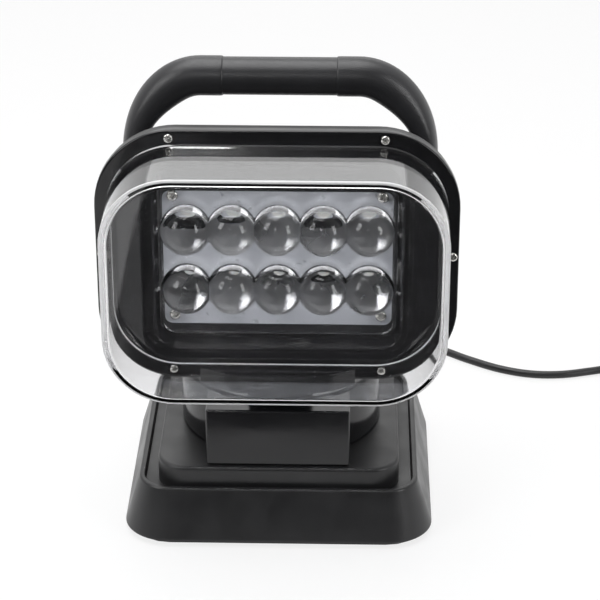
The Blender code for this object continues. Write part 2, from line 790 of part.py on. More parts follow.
def build_turret(pan_axis):
    cylinder_height = TURRET_TOP - TURRET_BOTTOM
    housing = turned(
        "turret_housing",
        [
            (0, TURRET_TOP),
            (TURRET_RADIUS - TURRET_EDGE * 2, TURRET_TOP),
            (TURRET_RADIUS - TURRET_EDGE * 0.6, TURRET_TOP - TURRET_EDGE * 0.6),
            (TURRET_RADIUS, TURRET_TOP - TURRET_EDGE * 2),
            (TURRET_RADIUS, TURRET_BOTTOM),
            (0, TURRET_BOTTOM),
        ],
        steps=TURRET_STEPS,
    )
    box_top = TURRET_TOP - TURRET_BOX_DROP
    square = [
        (0, TURRET_BOTTOM),
        (TURRET_BOX_Y, TURRET_BOTTOM),
        (TURRET_BOX_Y, box_top),
        (0, box_top),
    ]
    front = plate("turret_front", [side_outline(square)], 2 * TURRET_BOX_X, (0, 0, 0), "X")
    add_bevel(front, TURRET_BOX_EDGE)
    hollow_height = cylinder_height - TURRET_WALL
    hollow = cylinder(
        "turret_hollow",
        TURRET_RADIUS - TURRET_WALL,
        hollow_height * 2,
        (0, 0, TURRET_BOTTOM),
        steps=TURRET_STEPS,
    )
    inner_square = [
        (0, 0),
        (TURRET_BOX_Y + TURRET_WALL, 0),
        (TURRET_BOX_Y + TURRET_WALL, box_top - TURRET_WALL),
        (0, box_top - TURRET_WALL),
    ]
    inner_width = 2 * (TURRET_BOX_X - TURRET_WALL)
    inner_front = plate("front_hollow", [side_outline(inner_square)], inner_width, (0, 0, 0), "X")
    join(housing, front)
    cut(housing, hollow, inner_front)

    hub_bottom = TURRET_BOTTOM + BUSH_FLANGE_HEIGHT + RUNNING_GAP
    hub_height = TURRET_TOP - TURRET_WALL / 2 - hub_bottom
    hub = cylinder(
        "turret_hub", TURRET_HUB_RADIUS, hub_height, (0, 0, hub_bottom + hub_height / 2)
    )
    neck_low = TURRET_TOP - TURRET_WALL * 0.7
    arc = [
        (STEM_Y * math.cos(math.pi * i / 16), TILT_HEIGHT + STEM_Y * math.sin(math.pi * i / 16))
        for i in range(17)
    ]
    stem_outline = [
        (STEM_FOOT_Y, neck_low),
        (STEM_FOOT_Y, TURRET_TOP),
        (STEM_Y, TURRET_TOP + STEM_FOOT_HEIGHT),
        *arc,
        (-STEM_Y, TURRET_TOP + STEM_FOOT_HEIGHT),
        (-STEM_FOOT_Y, TURRET_TOP),
        (-STEM_FOOT_Y, neck_low),
    ]
    stem = plate("stem", [side_outline(stem_outline)], 2 * STEM_X, (0, 0, 0), "X")
    add_bevel(stem, STEM_EDGE, 1)
    join(housing, hub, stem)
    shaft_bore = cylinder(
        "shaft_bore",
        PAN_SHAFT_RADIUS + SEAT_GAP,
        2 * (hub_height - 2 * TURRET_WALL),
        (0, 0, hub_bottom),
    )
    axle_bore = cylinder(
        "axle_bore", AXLE_RADIUS + SEAT_GAP, THROUGH, (0, 0, TILT_HEIGHT), "X", 24
    )
    cut(housing, shaft_bore, axle_bore)
    finish(housing, GLOSS_BLACK, pan_axis)

    shaft_top = hub_bottom + hub_height - 2 * TURRET_WALL - SEAT_GAP
    nut_bottom = PAN_GEAR_BOTTOM - SEAT_GAP - PAN_NUT_HEIGHT
    shaft = [
        (PAN_SHAFT_BORE, shaft_top),
        (PAN_SHAFT_RADIUS, shaft_top),
        (PAN_SHAFT_RADIUS, nut_bottom),
        (PAN_SHAFT_BORE, nut_bottom),
    ]
    finish(turned("pan_shaft", shaft, closed=True), STEEL, pan_axis)
    bore = circle(PAN_SHAFT_RADIUS + SEAT_GAP)
    nut_middle = nut_bottom + PAN_NUT_HEIGHT / 2
    nut = plate("pan_nut", [circle(PAN_NUT_RADIUS, 6), bore], PAN_NUT_HEIGHT, (0, 0, nut_middle))
    finish(nut, STEEL, pan_axis)
    gear_middle = PAN_GEAR_BOTTOM + GEAR_THICKNESS / 2
    gear = plate("pan_gear", [gear_outline(PAN_GEAR_TEETH), bore], GEAR_THICKNESS, (0, 0, gear_middle))
    hub_ring = [
        (PAN_SHAFT_RADIUS + SEAT_GAP, DECK_UNDERSIDE - RUNNING_GAP),
        (PAN_NUT_RADIUS, DECK_UNDERSIDE - RUNNING_GAP),
        (PAN_NUT_RADIUS, PAN_GEAR_TOP - 0.001),
        (PAN_SHAFT_RADIUS + SEAT_GAP, PAN_GEAR_TOP - 0.001),
    ]
    join(gear, turned("pan_gear_hub", hub_ring, closed=True))
    finish(gear, NYLON, pan_axis)


def build_tilt_joint(pan_axis, head_axis):
    centre = (0, 0, TILT_HEIGHT)
    finish(cylinder("tilt_axle", AXLE_RADIUS, 2 * AXLE_END, centre, "X", 24), STEEL, pan_axis)
    bore = AXLE_RADIUS + SEAT_GAP
    gear = plate(
        "tilt_gear",
        [gear_outline(TILT_GEAR_TEETH), circle(bore, 24)],
        GEAR_THICKNESS,
        (TILT_GEAR_X, 0, TILT_HEIGHT),
        "X",
    )
    finish(gear, NYLON, pan_axis)
    gear_outer = TILT_GEAR_X + GEAR_THICKNESS / 2
    inner_end = BRACKET_X - SEAT_GAP - TILT_BUSH_FLANGE_THICKNESS
    for side, start in (("left", STEM_X), ("right", gear_outer)):
        sign = -1 if side == "left" else 1
        length = inner_end - SEAT_GAP - start - SEAT_GAP
        ring = [(bore, length), (SPACER_RADIUS, length), (SPACER_RADIUS, 0), (bore, 0)]
        spacer = turned(
            f"axle_spacer_{side}",
            ring,
            (sign * (start + SEAT_GAP), 0, TILT_HEIGHT),
            "X",
            20,
            closed=True,
        )
        spacer.rotation_euler = (0, sign * math.pi / 2, 0)
        finish(spacer, STEEL, pan_axis)
        inner = AXLE_RADIUS + RUNNING_GAP
        outer = inner + TILT_BUSH_WALL
        flange = TILT_BUSH_FLANGE_THICKNESS
        depth = flange + SEAT_GAP + BRACKET_THICKNESS
        profile = [
            (inner, depth),
            (outer, depth),
            (outer, flange),
            (TILT_BUSH_FLANGE, flange),
            (TILT_BUSH_FLANGE, 0),
            (inner, 0),
        ]
        bush = turned(f"tilt_bush_{side}", profile, (sign * inner_end, 0, 0), "X", 20, closed=True)
        bush.rotation_euler = (0, sign * math.pi / 2, 0)
        finish(bush, NYLON, head_axis)
        build_bracket(side, sign, outer + SEAT_GAP, head_axis)

    motor_end = -BRACKET_X + SEAT_GAP
    nose = TILT_GEAR_X - GEAR_THICKNESS / 2 - SEAT_GAP * 2
    profile = motor_profile(TILT_MOTOR_RADIUS, nose - motor_end)
    motor = turned("tilt_motor", profile, (motor_end, 0, TILT_CENTRES), "X", 24)
    finish(motor, STEEL, head_axis)
    pinion_axis = empty("tilt_pinion_axis", (TILT_GEAR_X, 0, TILT_CENTRES), head_axis)
    pinion("tilt_pinion", pinion_axis, (0, 0, 0), "X")


def build_bracket(side, sign, bore, head_axis):
    """A side plate from the heat sink to the axle, with an ear that holds the motor's end."""
    back = SINK_BACK + SEAT_GAP
    top = TILT_CENTRES + TILT_MOTOR_RADIUS
    outline = [
        (back, -BRACKET_FOOT_HALF_HEIGHT),
        (0, -BRACKET_EAR),
        (BRACKET_EAR * 0.7, -BRACKET_EAR * 0.7),
        (BRACKET_EAR, 0),
        (BRACKET_EAR, TILT_CENTRES),
        (BRACKET_EAR * 0.6, top),
        (-BRACKET_EAR * 0.6, top),
        (back, BRACKET_FOOT_HALF_HEIGHT),
    ]
    middle = sign * (BRACKET_X + BRACKET_THICKNESS / 2)
    hole = circle(bore, 20)
    bracket = plate(
        f"tilt_bracket_{side}", [side_outline(outline), hole], BRACKET_THICKNESS, (middle, 0, 0), "X"
    )
    foot_x = sign * (BRACKET_X + BRACKET_FOOT_WIDTH / 2)
    foot = box(
        f"bracket_foot_{side}",
        (BRACKET_FOOT_WIDTH, 0.002, 2 * BRACKET_FOOT_HALF_HEIGHT),
        (foot_x, back + 0.001, 0),
    )
    finish(bracket, STEEL, head_axis)
    foot.parent = head_axis
    join(bracket, foot)


def screw_holes(places, centre_y, radius, prefix):
    return [
        cylinder(f"{prefix}_{number}", radius, 0.03, (x, centre_y, z), "FRONT", SCREW_STEPS)
        for number, (x, z) in enumerate(places, 1)
    ]


def build_front_frame(head_axis):
    chamfer = FLANGE_CHAMFER
    cover_inner_x = COVER_X - COVER_WALL
    cover_inner_z = COVER_Z - COVER_WALL
    back = FLANGE_BACK
    ridge_y = FLANGE_FRONT - RIDGE_PROUD
    step_y = FLANGE_FRONT + WINDOW_DEPTH / 2
    centre = BEZEL_CENTRE_Z

    def flange(inset, y):
        return front_section(FLANGE_X - inset, FLANGE_Z - inset, FLANGE_CORNER - inset, y)

    def bezel(half_x, half_z, corner, y):
        return front_section(half_x, half_z, corner, y, centre)

    frame = loft(
        "front_frame",
        [
            flange(0, back - chamfer),
            flange(0, FLANGE_FRONT + chamfer),
            flange(chamfer, FLANGE_FRONT),
            front_section(
                cover_inner_x, cover_inner_z, COVER_CORNER - COVER_WALL, FLANGE_FRONT, COVER_CENTRE_Z
            ),
            front_section(
                cover_inner_x - 0.002,
                cover_inner_z - 0.0015,
                COVER_CORNER - 0.005,
                FLANGE_FRONT + 0.0015,
                COVER_CENTRE_Z,
            ),
            bezel(RIDGE_X + 0.0005, RIDGE_Z + 0.0005, 0.0155, ridge_y + 0.0003),
            bezel(RIDGE_X - 0.0005, RIDGE_Z - 0.0005, 0.0145, ridge_y),
            bezel(RIDGE_X - 0.0018, RIDGE_Z - 0.0012, 0.0138, step_y + 0.0003),
            bezel(STEP_X + 0.0003, STEP_Z + 0.0003, 0.012, step_y + 0.0003),
            bezel(STEP_X - 0.0003, STEP_Z - 0.0003, 0.0117, step_y + 0.0006),
            bezel(WINDOW_X + 0.0006, WINDOW_Z + 0.0012, 0.0086, LENS_PLATE_FRONT - 0.0003),
            bezel(WINDOW_X, WINDOW_Z, 0.008, LENS_PLATE_FRONT),
            bezel(WINDOW_X, WINDOW_Z, 0.008, LEDGE_FRONT_Y),
            bezel(WINDOW_X - LEDGE_INSET, WINDOW_Z - LEDGE_INSET, 0.006, LEDGE_FRONT_Y),
            bezel(WINDOW_X - LEDGE_INSET, WINDOW_Z - LEDGE_INSET, 0.006, LEDGE_BACK_Y),
            bezel(WINDOW_X + TUB_WALL, WINDOW_Z + TUB_WALL, 0.011, LEDGE_BACK_Y),
            bezel(STEP_X + TUB_WALL, STEP_Z + TUB_WALL, 0.0145, step_y + TUB_WALL),
            bezel(RIDGE_X + TUB_WALL * 0.5, RIDGE_Z + TUB_WALL * 0.5, 0.017, back),
            flange(chamfer, back),
        ],
        ring=True,
    )
    gusset_width = WINDOW_X + TUB_WALL / 2 - GUSSET_X
    gusset_height = WINDOW_Z + TUB_WALL / 2 - GUSSET_Z
    front = LEDGE_FRONT_Y + LEDGE_BACK / 10
    depth = GUSSET_BACK_Y - front
    for number, (sx, sz) in enumerate(((-1, -1), (-1, 1), (1, -1), (1, 1)), 1):
        middle = (
            sx * (GUSSET_X + gusset_width / 2),
            front + depth / 2,
            LENS_CENTRE_Z + sz * (GUSSET_Z + gusset_height / 2),
        )
        join(frame, box(f"gusset_{number}", (gusset_width, depth, gusset_height), middle))

    chord = CHIN_X
    radius = (chord**2 + CHIN_REACH**2) / (2 * CHIN_REACH)
    spread = math.asin(chord / radius)
    sink = 0.001
    arc = []
    for i in range(17):
        angle = -spread + 2 * spread * i / 16
        arc.append(
            (radius * math.sin(angle), FLANGE_FRONT - CHIN_REACH + radius * (1 - math.cos(angle)))
        )
    outline = [(-chord, FLANGE_FRONT + sink), *arc, (chord, FLANGE_FRONT + sink)]
    chin_middle = (CHIN_HIGH + CHIN_LOW) / 2
    chin = plate("chin", [outline], CHIN_HIGH - CHIN_LOW, (0, 0, chin_middle))
    join(frame, chin)
    hole = SCREW_SHANK + THREAD_GAP
    cut(frame, *screw_holes(COVER_SCREWS, FLANGE_FRONT, hole, "frame_hole"))
    cut(frame, *screw_holes(lens_screw_places(), LEDGE_FRONT_Y, hole, "gusset_hole"))
    finish(frame, GLOSS_BLACK, head_axis)
    carry_helpers(frame, head_axis)


def lens_screw_places():
    return [
        (sx * LENS_SCREW_X, LENS_CENTRE_Z + sz * LENS_SCREW_Z) for sx in (-1, 1) for sz in (-1, 1)
    ]


def build_cover(head_axis):
    middle = COVER_CENTRE_Z

    def section(inset, y, corner=0.0):
        return front_section(
            COVER_X - inset, COVER_Z - inset, COVER_CORNER - inset - corner, y, middle
        )

    outer = COVER_FRONT
    inner = COVER_FRONT + COVER_WALL
    wall = COVER_WALL
    edge = COVER_EDGE
    draft = COVER_DRAFT
    base = FLANGE_FRONT - SEAT_GAP
    cover = loft(
        "clear_cover",
        [
            section(wall + draft + edge * 0.9, inner),
            section(wall + draft + edge * 0.35, inner + edge * 0.12),
            section(wall + draft, inner + edge * 0.5),
            section(wall, base),
            section(0, base),
            section(draft, outer + edge),
            section(draft + edge * 0.3, outer + edge * 0.3),
            section(draft + edge, outer),
        ],
    )
    finish(cover, CLEAR, head_axis)
    for number, (x, z) in enumerate(COVER_SCREWS, 1):
        screw(
            f"cover_screw_{number}",
            COVER_SCREW_HEAD,
            SCREW_SHANK,
            COVER_SCREW_LENGTH,
            (x, FLANGE_FRONT - SEAT_GAP, z),
            "FRONT",
            STEEL,
            head_axis,
        )


def build_rear_shell(head_axis):
    inset = SHELL_FLANGE_INSET
    front = SHELL_FRONT
    flange_back = front + SHELL_FLANGE_THICKNESS
    corner = FLANGE_CORNER

    def flange(more, y):
        inwards = inset + more
        return front_section(FLANGE_X - inwards, FLANGE_Z - inwards, corner - inwards, y)

    shell = loft("rear_shell", [flange(0, front), flange(0, flange_back - 0.001), flange(0.001, flange_back)])
    collar_corner = 0.020
    collar = loft(
        "collar",
        [
            front_section(COLLAR_X, COLLAR_Z, collar_corner, front + 0.001),
            front_section(COLLAR_X, COLLAR_Z, collar_corner, COLLAR_BACK - 0.003),
            front_section(COLLAR_X - 0.003, COLLAR_Z - 0.003, collar_corner - 0.003, COLLAR_BACK),
        ],
    )
    wall = SHELL_WALL
    collar_hollow = loft(
        "collar_hollow",
        [
            front_section(COLLAR_X - wall, COLLAR_Z - wall, collar_corner - wall, front - 0.02),
            front_section(COLLAR_X - wall, COLLAR_Z - wall, collar_corner - wall, COLLAR_BACK - wall),
        ],
    )

    def bowl_outline(depth, height, front_y, steps=22):
        points = [(front_y, -height)]
        for i in range(steps + 1):
            angle = -math.pi / 2 + math.pi * i / steps
            points.append((BOWL_FRONT + depth * math.cos(angle), height * math.sin(angle)))
        points.append((front_y, height))
        return side_outline(points)

    bowl = plate(
        "bowl", [bowl_outline(BOWL_DEPTH, BOWL_Z, BOWL_FRONT - 0.001)], 2 * BOWL_X, (0, 0, 0), "X"
    )
    add_bevel(bowl, BOWL_EDGE)
    bowl_hollow = plate(
        "bowl_hollow",
        [bowl_outline(BOWL_DEPTH - wall, BOWL_Z - wall, BOWL_FRONT - 0.02)],
        2 * (BOWL_X - wall),
        (0, 0, 0),
        "X",
    )
    bosses = []
    for number, sign in enumerate((-1, 1), 1):
        outer = HANDLE_X - HANDLE_RADIUS - SEAT_GAP
        inner = BOWL_X - wall
        middle = (sign * (outer + inner) / 2, 0, 0)
        bosses.append(
            cylinder(f"handle_boss_{number}", HANDLE_BOSS_RADIUS, outer - inner, middle, "X", 24)
        )
    slot = box(
        "slot",
        (2 * SLOT_X, THROUGH / 2, THROUGH / 2),
        (0, SLOT_FRONT + THROUGH / 4, SLOT_TOP - THROUGH / 4),
    )
    shank = HANDLE_SCREW_SHANK + THREAD_GAP
    cross_bore = cylinder("shell_cross_bore", shank, THROUGH, (0, 0, 0), "X", 12)
    join(shell, collar, bowl)
    cut(shell, collar_hollow, bowl_hollow)
    join(shell, *bosses)
    cut(shell, slot, cross_bore)
    cut(shell, *screw_holes(COVER_SCREWS, FLANGE_FRONT, SCREW_SHANK + THREAD_GAP, "shell_hole"))
    finish(shell, SATIN_BLACK, head_axis)
    carry_helpers(shell, head_axis)

    def ring(more, y, half=(FLANGE_X, FLANGE_Z, FLANGE_CORNER)):
        return front_section(half[0] - more, half[1] - more, half[2] - more, y)

    hollow = (COLLAR_X - wall, COLLAR_Z - wall, collar_corner - wall)
    gasket_back = GASKET_FRONT + GASKET_THICKNESS
    gasket = loft(
        "gasket",
        [
            ring(GASKET_INSET, GASKET_FRONT),
            ring(GASKET_INSET, gasket_back),
            ring(0, gasket_back, hollow),
            ring(0, GASKET_FRONT, hollow),
        ],
        ring=True,
    )
    cut(gasket, *screw_holes(COVER_SCREWS, FLANGE_FRONT, SCREW_SHANK + THREAD_GAP, "gasket_hole"))
    finish(gasket, RUBBER, head_axis)
    carry_helpers(gasket, head_axis)


def lens_places():
    middle = (LENS_COLUMNS - 1) / 2
    return [
        ((column - middle) * LENS_PITCH_X, LENS_CENTRE_Z + row * LENS_PITCH_Z / 2)
        for row in (-1, 1)
        for column in range(LENS_COLUMNS)
    ]


def build_lens_array(head_axis):
    clearance = SEAT_GAP
    lens = loft(
        "lens_array",
        [
            front_section(
                WINDOW_X - clearance, WINDOW_Z - clearance, 0.0077, LENS_PLATE_FRONT, BEZEL_CENTRE_Z
            ),
            front_section(
                WINDOW_X - clearance, WINDOW_Z - clearance, 0.0077, LENS_PLATE_BACK, BEZEL_CENTRE_Z
            ),
        ],
    )
    for number, (x, z) in enumerate(lens_places(), 1):
        bm = bmesh.new()
        bmesh.ops.create_uvsphere(bm, u_segments=12, v_segments=8, radius=LENS_RADIUS)
        ball = from_bmesh(f"ball_{number}", bm)
        ball.rotation_euler = (math.pi / 2, 0, 0)
        ball.location = (x, LENS_CENTRE_Y, z)
        join(lens, ball)
    behind = box("behind_lenses", (0.2, 0.02, 0.2), (0, LENS_BACK_Y + 0.01, 0))
    cut(lens, behind)
    hole = SCREW_SHANK + THREAD_GAP
    cut(lens, *screw_holes(lens_screw_places(), LENS_PLATE_FRONT, hole, "lens_hole"))
    finish(lens, CLEAR, head_axis)
    carry_helpers(lens, head_axis)
    for number, (x, z) in enumerate(lens_screw_places(), 1):
        screw(
            f"lens_screw_{number}",
            LENS_SCREW_HEAD,
            SCREW_SHANK,
            LENS_SCREW_LENGTH,
            (x, LENS_PLATE_FRONT - SEAT_GAP, z),
            "FRONT",
            STEEL,
            head_axis,
        )

    board_middle = LED_BOARD_FRONT + LED_BOARD_THICKNESS / 2
    size = (2 * BOARD_X_HALF, LED_BOARD_THICKNESS, 2 * BOARD_Z_HALF)
    board = box("led_board", size, (0, board_middle, LENS_CENTRE_Z))
    for number, (x, z) in enumerate(lens_places(), 1):
        depth = LED_HEIGHT + LED_BOARD_THICKNESS / 2
        chip = box(
            f"led_{number}", (LED_SIZE, depth, LED_SIZE), (x, LED_BOARD_FRONT - LED_HEIGHT + depth / 2, z)
        )
        join(board, chip)
    finish(board, ALUMINIUM, head_axis)
    carry_helpers(board, head_axis)

    sink_size = (2 * BOARD_X_HALF, SINK_THICKNESS, 2 * BOARD_Z_HALF)
    sink = box("heat_sink", sink_size, (0, SINK_FRONT + SINK_THICKNESS / 2, LENS_CENTRE_Z))
    for sign in (-1, 1):
        for fin in range(FIN_COUNT):
            x = sign * (BOARD_X_HALF - FIN_EDGE - fin * FIN_PITCH)
            length = FIN_LENGTH + SINK_THICKNESS / 2
            middle = (x, SINK_BACK - SINK_THICKNESS / 2 + length / 2, LENS_CENTRE_Z)
            blade = (FIN_THICKNESS, length, 2 * (BOARD_Z_HALF - FIN_EDGE))
            join(sink, box(f"fin_{fin}_{sign}", blade, middle))
    finish(sink, ALUMINIUM, head_axis)
    carry_helpers(sink, head_axis)


def handle_path():
    """Half of the loop, from the foot of one leg to the middle of the grip."""
    steps = 9
    points = [(HANDLE_X, HANDLE_FOOT, 1.0), (HANDLE_X, HANDLE_TOP - HANDLE_BEND_Z, 1.0)]
    for i in range(1, steps + 1):
        angle = math.pi / 2 * i / steps
        x = HANDLE_X - HANDLE_BEND_X * (1 - math.cos(angle))
        z = HANDLE_TOP - HANDLE_BEND_Z * (1 - math.sin(angle))
        points.append((x, z, 1.0))
    points.append((GRIP_HALF + 0.0003, HANDLE_TOP, 1.0))
    points.append((GRIP_HALF - 0.0003, HANDLE_TOP, GRIP_SHARE))
    return points


def build_handle(head_axis):
    half = handle_path()
    points = half + [(-x, z, share) for x, z, share in reversed(half)]
    curve = bpy.data.curves.new("handle", "CURVE")
    curve.dimensions = "3D"
    curve.bevel_depth = HANDLE_RADIUS
    curve.bevel_resolution = 5
    curve.use_fill_caps = True
    spline = curve.splines.new("POLY")
    spline.points.add(len(points) - 1)
    for point, (x, z, share) in zip(spline.points, points):
        point.co = (x, 0, z, 1)
        point.radius = share
    handle = meshed(helper(bpy.data.objects.new("handle", curve)))
    shank = HANDLE_SCREW_SHANK + THREAD_GAP
    seat = HANDLE_X + HANDLE_RADIUS - 0.0025
    cut(handle, cylinder("handle_cross_bore", shank, THROUGH, (0, 0, 0), "X", 12))
    for number, sign in enumerate((-1, 1), 1):
        middle = (sign * (seat + 0.01), 0, 0)
        head_bore = cylinder(f"head_bore_{number}", HANDLE_SCREW_HEAD + SEAT_GAP, 0.02, middle, "X", 16)
        cut(handle, head_bore)
    finish(handle, SATIN_BLACK, head_axis)
    carry_helpers(handle, head_axis)
    for side, sign in (("left", -1), ("right", 1)):
        piece = screw(
            f"handle_screw_{side}",
            HANDLE_SCREW_HEAD,
            HANDLE_SCREW_SHANK,
            HANDLE_SCREW_LENGTH,
            (sign * (seat + SEAT_GAP), 0, 0),
            "X",
            STEEL,
            head_axis,
        )
        piece.rotation_euler = (0, sign * math.pi / 2, 0)


def smooth_route(points, spacing):
    """Points at an even spacing along a smooth curve through the given points."""
    dense = []
    for i in range(len(points) - 1):
        before = points[max(i - 1, 0)]
        start, end = points[i], points[i + 1]
        after = points[min(i + 2, len(points) - 1)]
        for step in range(24):
            t = step / 24
            dense.append(
                tuple(
                    0.5
                    * (
                        2 * b
                        + (c - a) * t
                        + (2 * a - 5 * b + 4 * c - d) * t * t
                        + (3 * b - a - 3 * c + d) * t**3
                    )
                    for a, b, c, d in zip(before, start, end, after)
                )
            )
    dense.append(points[-1])
    even = [dense[0]]
    walked = 0.0
    for first, second in zip(dense, dense[1:]):
        walked += math.dist(first, second)
        if walked >= spacing:
            even.append(second)
            walked = 0.0
    if math.dist(even[-1], dense[-1]) < spacing / 2:
        even.pop()
    even.append(dense[-1])
    return even


def cord_tube(name, points):
    curve = bpy.data.curves.new(name, "CURVE")
    curve.dimensions = "3D"
    curve.bevel_depth = CORD_RADIUS
    curve.bevel_resolution = 2
    curve.use_fill_caps = True
    spline = curve.splines.new("POLY")
    spline.points.add(len(points) - 1)
    for point, place in zip(spline.points, points):
        point.co = (*place, 1)
    finish(meshed(helper(bpy.data.objects.new(name, curve))), RUBBER)


def build_cord():
    cord_tube("power_cord", smooth_route(CORD_ROUTE, 4 * CORD_RADIUS))
    inner = COIL_RADIUS - COIL_HALF_WIDTH
    outer = COIL_RADIUS + COIL_HALF_WIDTH
    crown = CORD_RADIUS
    ring = [
        (inner + crown, COIL_HEIGHT),
        (outer - crown, COIL_HEIGHT),
        (outer, COIL_HEIGHT - crown),
        (outer, crown),
        (outer - crown, 0),
        (inner + crown, 0),
        (inner, crown),
        (inner, COIL_HEIGHT - crown),
    ]
    finish(turned("cord_coil", ring, (*COIL_CENTRE, 0), steps=32, closed=True), RUBBER)
    tail_x = COIL_CENTRE[0] + COIL_RADIUS
    cord_side = COIL_RADIUS - CORD_RADIUS
    tail_start = COIL_CENTRE[1] - math.sqrt(outer**2 - cord_side**2) - SEAT_GAP
    tail_end = tail_start - PLUG_TAIL
    z = PLUG_RADIUS
    tail_step = PLUG_TAIL / 3
    tail = [(tail_x, tail_start - i * tail_step, z) for i in range(4)]
    cord_tube("cord_tail", tail)
    plug_y = tail_end - SEAT_GAP
    grip_start = PLUG_RELIEF_LENGTH
    grip_end = grip_start + PLUG_GRIP_LENGTH
    nose_end = grip_end + PLUG_NOSE_LENGTH
    body = [
        (0, nose_end),
        (PLUG_NOSE_RADIUS - 0.002, nose_end),
        (PLUG_NOSE_RADIUS, nose_end - 0.002),
        (PLUG_NOSE_RADIUS, grip_end),
        (PLUG_RADIUS, grip_end),
        (PLUG_RADIUS, grip_start + 0.006),
        (PLUG_RADIUS - 0.003, grip_start),
        (CORD_RADIUS + 0.002, grip_start),
        (CORD_RADIUS + 0.001, 0),
        (0, 0),
    ]
    finish(turned("plug_body", body, (tail_x, plug_y, z), "FRONT", 32), GLOSS_BLACK)
    tip = [
        (0, PLUG_TIP_LENGTH),
        (PLUG_TIP_RADIUS * 0.5, PLUG_TIP_LENGTH * 0.9),
        (PLUG_TIP_RADIUS, PLUG_TIP_LENGTH * 0.5),
        (PLUG_TIP_RADIUS, 0),
        (0, 0),
    ]
    tip_y = plug_y - nose_end - SEAT_GAP
    finish(turned("plug_tip", tip, (tail_x, tip_y, z), "FRONT", 20), STEEL)
    for side, sign in (("left", -1), ("right", 1)):
        middle = (
            tail_x + sign * (PLUG_NOSE_RADIUS + SEAT_GAP + CONTACT_SIZE[0] / 2),
            plug_y - grip_end - PLUG_NOSE_LENGTH * 0.45,
            z,
        )
        finish(box(f"plug_contact_{side}", CONTACT_SIZE, middle), STEEL)


def main():
    pan_axis = empty("pan_axis", (0, 0, 0))
    head_axis = empty("tilt_axis", (0, 0, TILT_HEIGHT), pan_axis)
    build_base()
    build_turret(pan_axis)
    build_tilt_joint(pan_axis, head_axis)
    build_front_frame(head_axis)
    build_cover(head_axis)
    build_rear_shell(head_axis)
    build_lens_array(head_axis)
    build_handle(head_axis)
    build_cord()


main()
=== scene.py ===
"""Looks of the marine searchlight: its detailed pieces, finishes, cord, floor, light and camera."""

import json
import math

import bmesh
import bpy
from mathutils import Matrix, Vector


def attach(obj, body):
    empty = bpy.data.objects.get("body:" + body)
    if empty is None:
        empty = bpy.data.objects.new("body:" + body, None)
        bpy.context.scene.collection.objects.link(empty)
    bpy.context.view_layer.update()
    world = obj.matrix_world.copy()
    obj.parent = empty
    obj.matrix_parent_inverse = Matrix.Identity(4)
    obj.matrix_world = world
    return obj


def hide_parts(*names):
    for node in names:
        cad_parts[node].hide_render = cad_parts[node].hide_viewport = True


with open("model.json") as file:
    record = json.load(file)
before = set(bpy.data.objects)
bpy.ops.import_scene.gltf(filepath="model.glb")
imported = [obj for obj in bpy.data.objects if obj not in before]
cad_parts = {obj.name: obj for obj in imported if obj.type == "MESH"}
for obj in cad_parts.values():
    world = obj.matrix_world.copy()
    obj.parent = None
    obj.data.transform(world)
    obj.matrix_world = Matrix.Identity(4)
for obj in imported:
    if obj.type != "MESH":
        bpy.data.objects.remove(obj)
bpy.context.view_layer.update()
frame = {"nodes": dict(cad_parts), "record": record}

# Sizes in metres, most of them shared with the CAD. Heights in the head are measured from the
# tilt axis. An outline is (half width, half depth or height, corner radius).
TILT_HEIGHT = 0.154
SEAT_GAP = 0.0003

FOOT = (0.0795, 0.075, 0.024)
FOOT_RISE = 0.004
BASE_INSET = 0.008
PLATE_BOTTOM = 0.0033
HOUSING_WALL = 0.0026
RIDGE_HEIGHT = 0.030
RIDGE_WIDTH = 0.002
RIDGE_SLOPE = 0.0005
LEDGE_TOP = 0.0265
LEDGE_BOTTOM = 0.0241
LEDGE = (0.056, 0.057, 0.015)
DECK = (0.062, 0.063, 0.015)
DECK_HEIGHT = 0.040
DECK_WALL = 0.0025
DECK_UNDERSIDE = 0.037
DECK_EDGE = 0.0018
DECK_BORE = 0.0136

TURRET_RADIUS = 0.0525
TURRET_BOTTOM = 0.0403
TURRET_TOP = 0.073
TURRET_WALL = 0.003
TURRET_EDGE = 0.0017
TURRET_FOOT_EDGE = 0.0006
TURRET_BOX_X = 0.0365
TURRET_BOX_Y = -0.0605
TURRET_BOX_DROP = 0.0012
TURRET_BOX_RISE = 0.0001
TURRET_BOX_EDGE = 0.0011
TURRET_HUB_RADIUS = 0.014
TURRET_HUB_BOTTOM = 0.0421
STEM_X = 0.017
STEM_Y = 0.015
STEM_FOOT_Y = 0.020
STEM_FOOT_HEIGHT = 0.011
STEM_SUNK = 0.002
STEM_EDGE = 0.0009
AXLE_BORE = 0.0043
SHAFT_BORE = 0.0093

FLANGE = (0.089, 0.067, 0.040)
FLANGE_FRONT = -0.055
FLANGE_BACK = -0.0503
FRAME_BACK = -0.0398
BEZEL_Z = -0.002
RIDGE_X = 0.067
RIDGE_Z = 0.053
RIDGE_PROUD = 0.001
STEP_X = 0.062
STEP_Z = 0.050
STEP_DEEP = 0.005
WINDOW_X = 0.0596
WINDOW_Z = 0.045
WINDOW_CORNER = 0.008
WINDOW = (WINDOW_X, WINDOW_Z, WINDOW_CORNER)
LEDGE_INSET = 0.0038
LEDGE_CORNER = 0.006
LENS_PLATE_FRONT = -0.045
LENS_PLATE_BACK = -0.0425
CHIN_X = 0.039
CHIN_REACH = 0.013
CHIN_LOW = -0.070
CHIN_HIGH = -0.0605
CHIN_ROOT = 0.001
CHIN_EDGE = 0.0012

